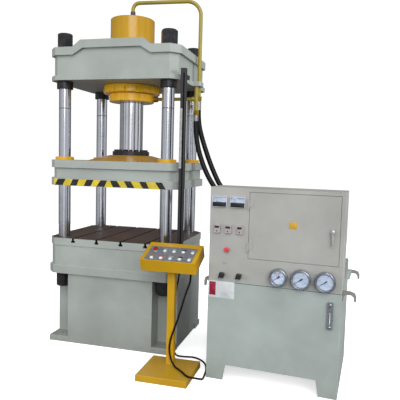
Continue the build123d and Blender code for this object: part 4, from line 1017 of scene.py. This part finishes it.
hooks = []
for v in HOOK_DEPTHS:
    left_hook = moved(hook_mesh(0.050), on_unit(0.0, 0.0, -v) @ Matrix.Diagonal((-1.0, 1.0, 1.0, 1.0)))
    left_hook.flip_normals()
    hooks += [moved(hook_mesh(0.095), on_unit(UNIT_WIDTH, 0.0, -v)), left_hook]
settle("rear_hook_plate", slab(HOOK_PLATE, 0.0120), on_unit(UNIT_WIDTH, 0.0, -HOOK_DEPTHS[1]), UNIT_PAINT,
       angle=40.0)
settle("heavy_hooks", hooks, HERE, HOOK_PRIMER, angle=40.0)
settle("filler_box", layered(0.048, 0.150, 0.005, (0.7692, 0.0), (0.8460, 0.0), (0.8480, 0.0015)),
       UNIT @ shift(0.9505, 0.773), UNIT_PAINT, angle=40.0)
print("hooks", len(hooks))

# %% [markdown]
# ## The striped band
# A black and yellow band runs along the lower edge of the slide's front. Its stripes lean, and their widths differ a
# little, as on a band that was painted by hand. It is one thin skin, 0.3 mm proud of the plate.

# %% Striped band on the slide
# The black stripes: from and to at the band's upper edge, then at its lower edge
STRIPES = (((-0.486, -0.411), (-0.518, -0.442)), ((-0.343, -0.283), (-0.369, -0.306)),
           ((-0.209, -0.143), (-0.239, -0.173)), ((-0.077, -0.019), (-0.118, -0.041)),
           ((0.006, 0.071), (0.037, 0.111)), ((0.135, 0.198), (0.170, 0.233)),
           ((0.273, 0.335), (0.308, 0.363)), ((0.415, 0.476), (0.455, 0.510)))
BAND_END, BAND_LOW, BAND_HIGH, BAND_FRONT, BAND_BACK = -0.526, 1.410, 1.465, -0.4623, -0.4620


def scuffs(tree):
    return ramp(tree, cloud(tree, 55.0, 6.0), 0.60, 0.74)


def worn_skin(name, tone, under, roughness=0.4):
    """A painted or glued skin with scuffs that show what is under it."""
    return mottled(name, (linear(tone), linear(tone, 0.86)), (8.0, 3.0), (0.3, 0.7),
                   (roughness - 0.05, roughness + 0.12), (200.0, 2.0, 0.08, 0.0004), (scuffs, under))


def striped_band():
    edges = [(BAND_END, BAND_END)]
    for (top_a, top_b), (bottom_a, bottom_b) in STRIPES:
        edges += [(top_a, bottom_a), (top_b, bottom_b)]
    bm = bmesh.new()
    rows = [[bm.verts.new(p) for p in ((bottom_x, BAND_FRONT, BAND_LOW), (top_x, BAND_FRONT, BAND_HIGH),
                                       (top_x, BAND_BACK, BAND_HIGH), (bottom_x, BAND_BACK, BAND_LOW))]
            for top_x, bottom_x in edges]
    sides_between(bm, rows)
    for i, face in enumerate(bm.faces):
        face.material_index = i // 4 % 2
    bm.faces.new(rows[0])
    bm.faces.new(rows[-1][::-1]).material_index = 1
    mesh = to_mesh(bm)
    mesh.materials.append(worn_skin("stripe_yellow", (206, 182, 34), (150, 138, 104)))
    mesh.materials.append(worn_skin("stripe_black", (18, 19, 22), (66, 65, 62)))
    return mesh


settle("slide_band", striped_band(), HERE, None, body="slide")
print("stripes", len(STRIPES))

# %% [markdown]
# ## Marks on the desk
# Small engraved plates stand above the buttons. They stay blank here: two are red, two are black, the rest pale. The
# mushroom button has none.

# %% Button plates
BUTTON_ROWS, PLATE_ABOVE, PANEL_FACE = (0.038, 0.141), 0.031, 0.003
BUTTON_U = [-0.135 + 0.0745 * i for i in range(5)]
PLATE_TONES = {(0, 0): LAMP_RED, (0, 1): LAMP_RED, (0, 3): BAND_BLACK, (1, 3): BAND_BLACK}
MUSHROOM_AT = (1, 0)
spots = [(row, column) for row in range(2) for column in range(5) if (row, column) != MUSHROOM_AT]
for row, column in spots:
    settle(f"button_plate_{row}_{column}", rounded_plate(0.032, 0.013, 0.0008, 0.0015, 0.0003),
           on_desk(BUTTON_U[column], BUTTON_ROWS[row] + PLATE_ABOVE, PANEL_FACE),
           PLATE_TONES.get((row, column), PLATE_PALE))
print("plates", len(spots))

# %% [markdown]
# ## Screws
# Socket screws hold the guide flanges to the slide, and the gland to the cylinder. Small lens-headed screws hold the
# grey panel on the desk. One drawing of each, and a ring or a row of copies.

# %% Screw rings, crimps and panel screws
FLANGE_TOP, FLANGE_CIRCLE, GLAND_UNDERSIDE, GLAND_CIRCLE, CRIMP_STEP = 1.6502, 0.067, 2.1838, 0.165, 0.0105
SLEEVES = [*HOSE_STARTS, *over_ports(SLEEVE_Z)]


def socket_screw(r, height, across):
    return stack([round_ring(r, 0.0), round_ring(r, height * 0.85), round_ring(r * 0.9, height),
                  hex_ring(across, height), hex_ring(across, height * 0.45)])


def lens_screw(r):
    return stack([round_ring(r, 0.0, 20), round_ring(r * 0.92, r * 0.3, 20), round_ring(r * 0.55, r * 0.48, 20),
                  hex_ring(r * 0.7, r * 0.5, 20), hex_ring(r * 0.7, r * 0.2, 20)])


flange_screws = [moved(ring_of(socket_screw(0.0046, 0.0058, 0.0045), BLACK_STEEL, 6, FLANGE_CIRCLE, 30.0, 60.0),
                       shift(x, y, FLANGE_TOP)) for x in (-0.480, 0.480) for y in (-0.360, 0.360)]
settle("guide_flange_screws", flange_screws, HERE, BLACK_STEEL, body="slide")
settle("gland_screws", ring_of(socket_screw(0.0095, 0.011, 0.0085), BLACK_STEEL, 12, GLAND_CIRCLE, 15.0, 30.0),
       shift(0.0, 0.0, GLAND_UNDERSIDE) @ turn_about("X", 180.0), BLACK_STEEL)

crimps = []
for (x, y, z), count in zip(SLEEVES, (5, 7, 6, 6)):
    band = turned(32, (0.0221, 0.0), (0.0234, 0.0012), (0.0234, 0.0048), (0.0221, 0.0060))
    crimps.append(grown(ROW, band, ZINC, Count=count, Start=(x, y, z + 0.006), Step=(0.0, 0.0, CRIMP_STEP)))
settle("ferrule_crimps", crimps, HERE, ZINC)

panel_screws = [moved(lens_screw(0.0042), shift(u, w)) for u in (-0.180, 0.180) for w in (0.016, 0.200)]
settle("panel_screws", panel_screws, on_desk(0.0, 0.0, PANEL_FACE), ZINC)
print("screws", 6 * len(flange_screws) + 12 + len(panel_screws))

# %% [markdown]
# ## Gasket and plates on the power unit
# A dark rubber gasket shows as a thin line all round, between the tank and its lid.
# The photographed unit carries a notice with a red field, a small plate and a three-cornered sign. Words and signs are
# left off: the plates are there, blank, in their colours.

# %% Gasket under the lid
settle("lid_gasket", layered(0.9754, 0.8504, 0.005, (0.7550, 0.0), (0.7584, 0.0)), UNIT @ shift(0.4875, 0.425),
       GLAND_BLACK)
print("gasket under the lid")

# %% Blank plates
PLATES = (
    ("notice_plate", (0.203, 0.127, 0.0006, 0.003, 0.0002), (0.1035, 0.6955, 0.0001),
     worn_skin("plate_white", (206, 209, 210), (180, 182, 180), 0.35), "dial_white", "press"),
    ("notice_field", (0.050, 0.102, 0.0003, 0.001, 0.0001), (0.035, 0.700, 0.0007),
     worn_skin("plate_red", (140, 16, 44), (150, 70, 84), 0.35), "button_red", "press"),
    ("small_plate", (0.036, 0.011, 0.0008, 0.001, 0.0003), (0.127, 0.903, 0.0001), PLATE_PALE, "panel_grey", "press"),
    ("door_plate", (0.058, 0.048, 0.0008, 0.004, 0.0003), (0.620, 1.214, 0.0001),
     worn_skin("plate_yellow", (190, 150, 44), (158, 134, 76), 0.35), "yellow_paint", "door"),
)
for name, form, place, finish, slot_name, body in PLATES:
    settle(name, rounded_plate(*form), on_unit(*place), finish, body=body)
print("plates", len(PLATES))

# %% [markdown]
# ## The stroke scale
# A steel rule on the rail shows how far the slide has come down: a mark for every centimetre, a longer one for every
# fifth, and a number for every tenth.

# %% Marks on the stroke scale
scale_marks = [grown(ROW, bar(length, width), INK, Count=count, Start=(start, 0.0, 0.0), Step=(0.0, step, 0.0))
               for length, width, count, start, step in ((0.007, 0.0009, 47, 0.0, 0.010),
                                                         (0.012, 0.0014, 10, 0.0025, 0.050))]
scale_marks += [numeral(i, 0.011, 0.0125, 0.100 * i + 0.008) for i in range(5)]
settle("stroke_marks", scale_marks, shift(0.6125, -0.4402, 1.600) @ FACING, INK)
print("scale marks", 47 + 10)

# %% [markdown]
# ## Weld beads
# The crown, the slide and the bed are welded from plates. A bead runs where the inset walls meet the plates. A bead
# follows a path, so Geometry Nodes sweep a small round section along it and let its thickness waver.

# %% Weld beads
BEAD, given, result = tree_with("weld_bead", Geometry="Geometry", Radius="Float", Ripple="Float", Seed="Float")
even = put(BEAD, "GeometryNodeResampleCurve", mode="LENGTH", s_Length=0.016, s_Curve=given["Geometry"])
ripples = put(BEAD, "ShaderNodeTexNoise", noise_dimensions="4D", s_Scale=45.0, s_W=given["Seed"])
waver = maths(BEAD, "MULTIPLY", maths(BEAD, "SUBTRACT", ripples.outputs[0], 0.5), given["Ripple"])
thick = put(BEAD, "GeometryNodeSetCurveRadius", s_Curve=even.outputs[0], s_Radius=maths(BEAD, "ADD", waver, 1.0))
section = put(BEAD, "GeometryNodeCurvePrimitiveCircle", s_Resolution=6, s_Radius=given["Radius"])
swept = put(BEAD, "GeometryNodeCurveToMesh", s_Curve=thick.outputs[0], s_Profile_Curve=section.outputs[0])
if "Scale" in swept.inputs:
    feed_all(BEAD, swept, Scale=put(BEAD, "GeometryNodeInputRadius").outputs[0])
end_tree(BEAD, given, result, swept.outputs[0])


PLAN_HALF_WIDTH, PLAN_HALF_DEPTH, CORNER_CUT, CUT_PER_INSET = 0.595, 0.462, 0.075, 0.586


def bead_along(inset, z, radius, finish, seed):
    """A weld bead round the plan with cut corners, set in from the press's plates."""
    w, d, cut = PLAN_HALF_WIDTH - inset, PLAN_HALF_DEPTH - inset, CORNER_CUT - inset * CUT_PER_INSET
    corners = ((w, -d + cut), (w, d - cut), (w - cut, d), (-w + cut, d), (-w, d - cut), (-w, -d + cut),
               (-w + cut, -d), (w - cut, -d))
    path, spline = curve_through("path", "POLY", [(x, y, z) for x, y in corners])
    spline.use_cyclic_u = True
    return run_tree(BEAD, path, Radius=radius, Ripple=0.9, Seed=float(seed), Finish=finish)


slide_beads = [bead_along(0.0215, z, 0.0032, SLIDE_PAINT, seed) for seed, z in enumerate((1.4755, 1.5625))]
settle("slide_welds", slide_beads, HERE, SLIDE_PAINT, body="slide", angle=60.0)
frame_beads = [bead_along(0.0235, 2.3535, 0.0035, FRAME_PAINT, 5), bead_along(0.0075, 0.7055, 0.003, FRAME_PAINT, 6)]
settle("frame_welds", frame_beads, HERE, FRAME_PAINT, angle=60.0)
print("beads", len(slide_beads) + len(frame_beads))

# %% [markdown]
# ## Inside the cabinet
# The door opens, so something must be behind it: a zinc-plated mounting plate with a slotted duct, a rail with three
# contactors and their overload relays, and a row of terminals.

# %% Mounting plate and its gear
MIDDLE_U, PLATE_Z, DUCT_Z, TERMINAL_Z, PLATE_FRONT = 0.622, 1.190, 1.130, 1.040, -0.2868
CONTACTORS, TERMINALS, FINGERS = 4, 40, 44


def gear_block(width, height, depth, soft=0.002):
    return layered(width, height, 0.002, (0.0, 0.0), (depth - soft, 0.0), (depth, soft))


def in_cabinet(name, drawn, z, finish, out=PLATE_FRONT):
    settle(name, drawn, on_unit(MIDDLE_U, z, out), finish)


in_cabinet("mounting_plate", rounded_plate(0.600, 0.430, 0.003, 0.004, 0.0006), PLATE_Z, ZINC, -0.2900)
for name, z in (("contactor_rail", 1.290), ("terminal_rail", TERMINAL_Z)):
    in_cabinet(name, gear_block(0.520, 0.035, 0.0075, 0.001), z, ZINC)
lower_gear, heads = [], []
for i in range(CONTACTORS):
    x = -0.202 + 0.105 * i
    lower_gear += [moved(gear_block(0.076, 0.086, 0.055), shift(x, 0.100, 0.0078)),
                   moved(gear_block(0.066, 0.046, 0.062), shift(x, 0.030, 0.0003))]
    heads.append(moved(gear_block(0.046, 0.060, 0.030), shift(x, 0.100, 0.0628)))
in_cabinet("contactor_bodies", lower_gear, PLATE_Z, KNOB_BLACK)
in_cabinet("contactor_heads", heads, PLATE_Z, CONTACTOR_IVORY)
terminals = grown(ROW, gear_block(0.0086, 0.048, 0.040, 0.001), CONTACTOR_IVORY, Count=TERMINALS,
                  Start=(-0.195, 0.0, 0.0078), Step=(0.010, 0.0, 0.0))
in_cabinet("terminal_row", terminals, TERMINAL_Z, CONTACTOR_IVORY)
fingers = grown(ROW, gear_block(0.0075, 0.040, 0.050, 0.0008), RELAY_GREY, Count=FINGERS,
                Start=(-0.258, 0.0, 0.0003), Step=(0.012, 0.0, 0.0))
in_cabinet("wiring_duct", fingers, DUCT_Z, RELAY_GREY)
in_cabinet("duct_lid", gear_block(0.530, 0.046, 0.003, 0.001), DUCT_Z, RELAY_GREY,
           PLATE_FRONT + 0.0505)
print("gear", CONTACTORS, "contactors", TERMINALS, "terminals")

# %% [markdown]
# ## The sight glass
# The oil level shows in a clear tube between two hollow screws. The pale oil stands at two thirds.

# %% Level tube and its oil


def tube_piece(r, length):
    return turned(20, (r * 0.86, 0.0), (r, r * 0.15), (r, length - r * 0.15), (r * 0.86, length))


upright = UNIT @ shift(0.902, -0.0118, 0.5385)
settle("level_tube", tube_piece(0.0045, 0.123), upright, GLASS)
settle("level_oil", tube_piece(0.0036, 0.081), upright @ shift(0.0, 0.0, 0.001), OIL)
print("oil level set")

# %% [markdown]
# ## Floor and light
# The machine stands in an even, pale room. A plain floor with a very faint grain, a pale sky and three soft lamps are
# enough: chrome needs something large and bright to mirror, and paint needs one side a little darker.

# %% Floor
FLOOR_HALF, FLOOR_Z = 6.5, -0.001


def build_floor():
    finish, tree, shader = start_finish("floor_pale")
    pale = blend(tree, ramp(tree, cloud(tree, 3.0), 0.3, 0.7), linear((240, 240, 239)), linear((246, 246, 245)))
    seen = put(tree, "ShaderNodeLightPath").outputs["Is Camera Ray"]
    feed_all(tree, shader, Base_Color=blend(tree, seen, linear((122, 122, 124)), pale), Roughness=0.9,
             Specular_IOR_Level=0.1, Emission_Color=(1.0, 1.0, 1.0, 1.0),
             Emission_Strength=maths(tree, "MULTIPLY", seen, 0.6))
    sheet = bpy.data.meshes.new("floor")
    sheet.from_pydata([(x * FLOOR_HALF, y * FLOOR_HALF, FLOOR_Z) for x, y in ((-1, -1), (1, -1), (1, 1), (-1, 1))],
                      [], [(0, 1, 2, 3)])
    sheet.materials.append(finish)
    floor = new_object("floor", sheet)
    return floor


floor = build_floor()
print("floor", floor.name)

# %% Sky and lamps
# Tall windows of the hall behind the camera: turn from the camera in degrees, half width, strength
HALL_WINDOWS = ((-68.0, 11.0, 0.45), (-36.0, 13.0, 0.5), (1.0, 11.0, 1.15), (22.0, 9.0, 0.5), (58.0, 16.0, 0.5),
                (94.0, 13.0, 0.8))


def build_sky():
    """White behind the machine; for all that it lights and mirrors, a dim hall with a few tall windows."""
    world = bpy.data.worlds.new("studio")
    bpy.context.scene.world = world
    world.use_nodes = True
    tree = world.node_tree
    place = put(tree, "ShaderNodeTexCoord").outputs["Generated"]
    level = put(tree, "ShaderNodeVectorMath", operation="MULTIPLY")
    feed(tree, place, level.inputs[0])
    feed(tree, (1.0, 1.0, 0.0), level.inputs[1])
    heading = put(tree, "ShaderNodeVectorMath", operation="NORMALIZE", s_Vector=level.outputs[0]).outputs[0]
    ahead = dot(tree, heading, level_right.cross(Vector((0.0, 0.0, 1.0))))
    angle = maths(tree, "ARCTAN2", dot(tree, heading, level_right), ahead)
    bright = ramp(tree, ahead, -1.0, 0.6, 0.26, 0.58)
    for turn, half_width, strength in HALL_WINDOWS:
        off = maths(tree, "ABSOLUTE", maths(tree, "SUBTRACT", angle, radians(turn)))
        window = ramp(tree, off, radians(half_width), radians(half_width * 0.45), 0.0, strength)
        bright = maths(tree, "ADD", bright, window)
    climb = ramp(tree, axis_of(tree, place, "Z"), -0.32, -0.08)
    room = tree.nodes["Background"]
    feed_all(tree, room, Color=blend(tree, climb, (0.20, 0.205, 0.215, 1.0), (0.92, 0.93, 0.96, 1.0)), Strength=bright)
    white = put(tree, "ShaderNodeBackground", s_Strength=1.05, s_Color=(1.0, 1.0, 1.0, 1.0))
    mix_by(tree, put(tree, "ShaderNodeLightPath").outputs["Is Camera Ray"], room.outputs[0], white.outputs[0],
           "World Output")


def aimed(lamp, direction):
    lamp.rotation_euler = direction.to_track_quat("-Z", "Y").to_euler()


def soft_lamp(name, place, aim, width, power):
    lamp = new_object(name, bpy.data.lights.new(name, "AREA"))
    lamp.data.shape = "RECTANGLE"
    lamp.data.size = width
    lamp.data.size_y = width * 0.7
    lamp.data.energy = power
    lamp.location = place
    lamp.visible_glossy = False
    aimed(lamp, Vector(aim) - Vector(place))


build_sky()
bpy.context.scene.view_settings.view_transform = "Standard"
soft_lamp("left window", (-4.6, -5.2, 2.2), (0.4, -0.3, 1.1), 2.2, 125.0)
soft_lamp("right window", (5.5, -0.8, 3.2), (0.6, 0.0, 2.0), 2.0, 150.0)
daylight = new_object("daylight", bpy.data.lights.new("daylight", "SUN"))
daylight.data.energy = 1.9
daylight.data.angle = radians(50.0)
aimed(daylight, Vector((-2.6, 6.6, -4.2)))
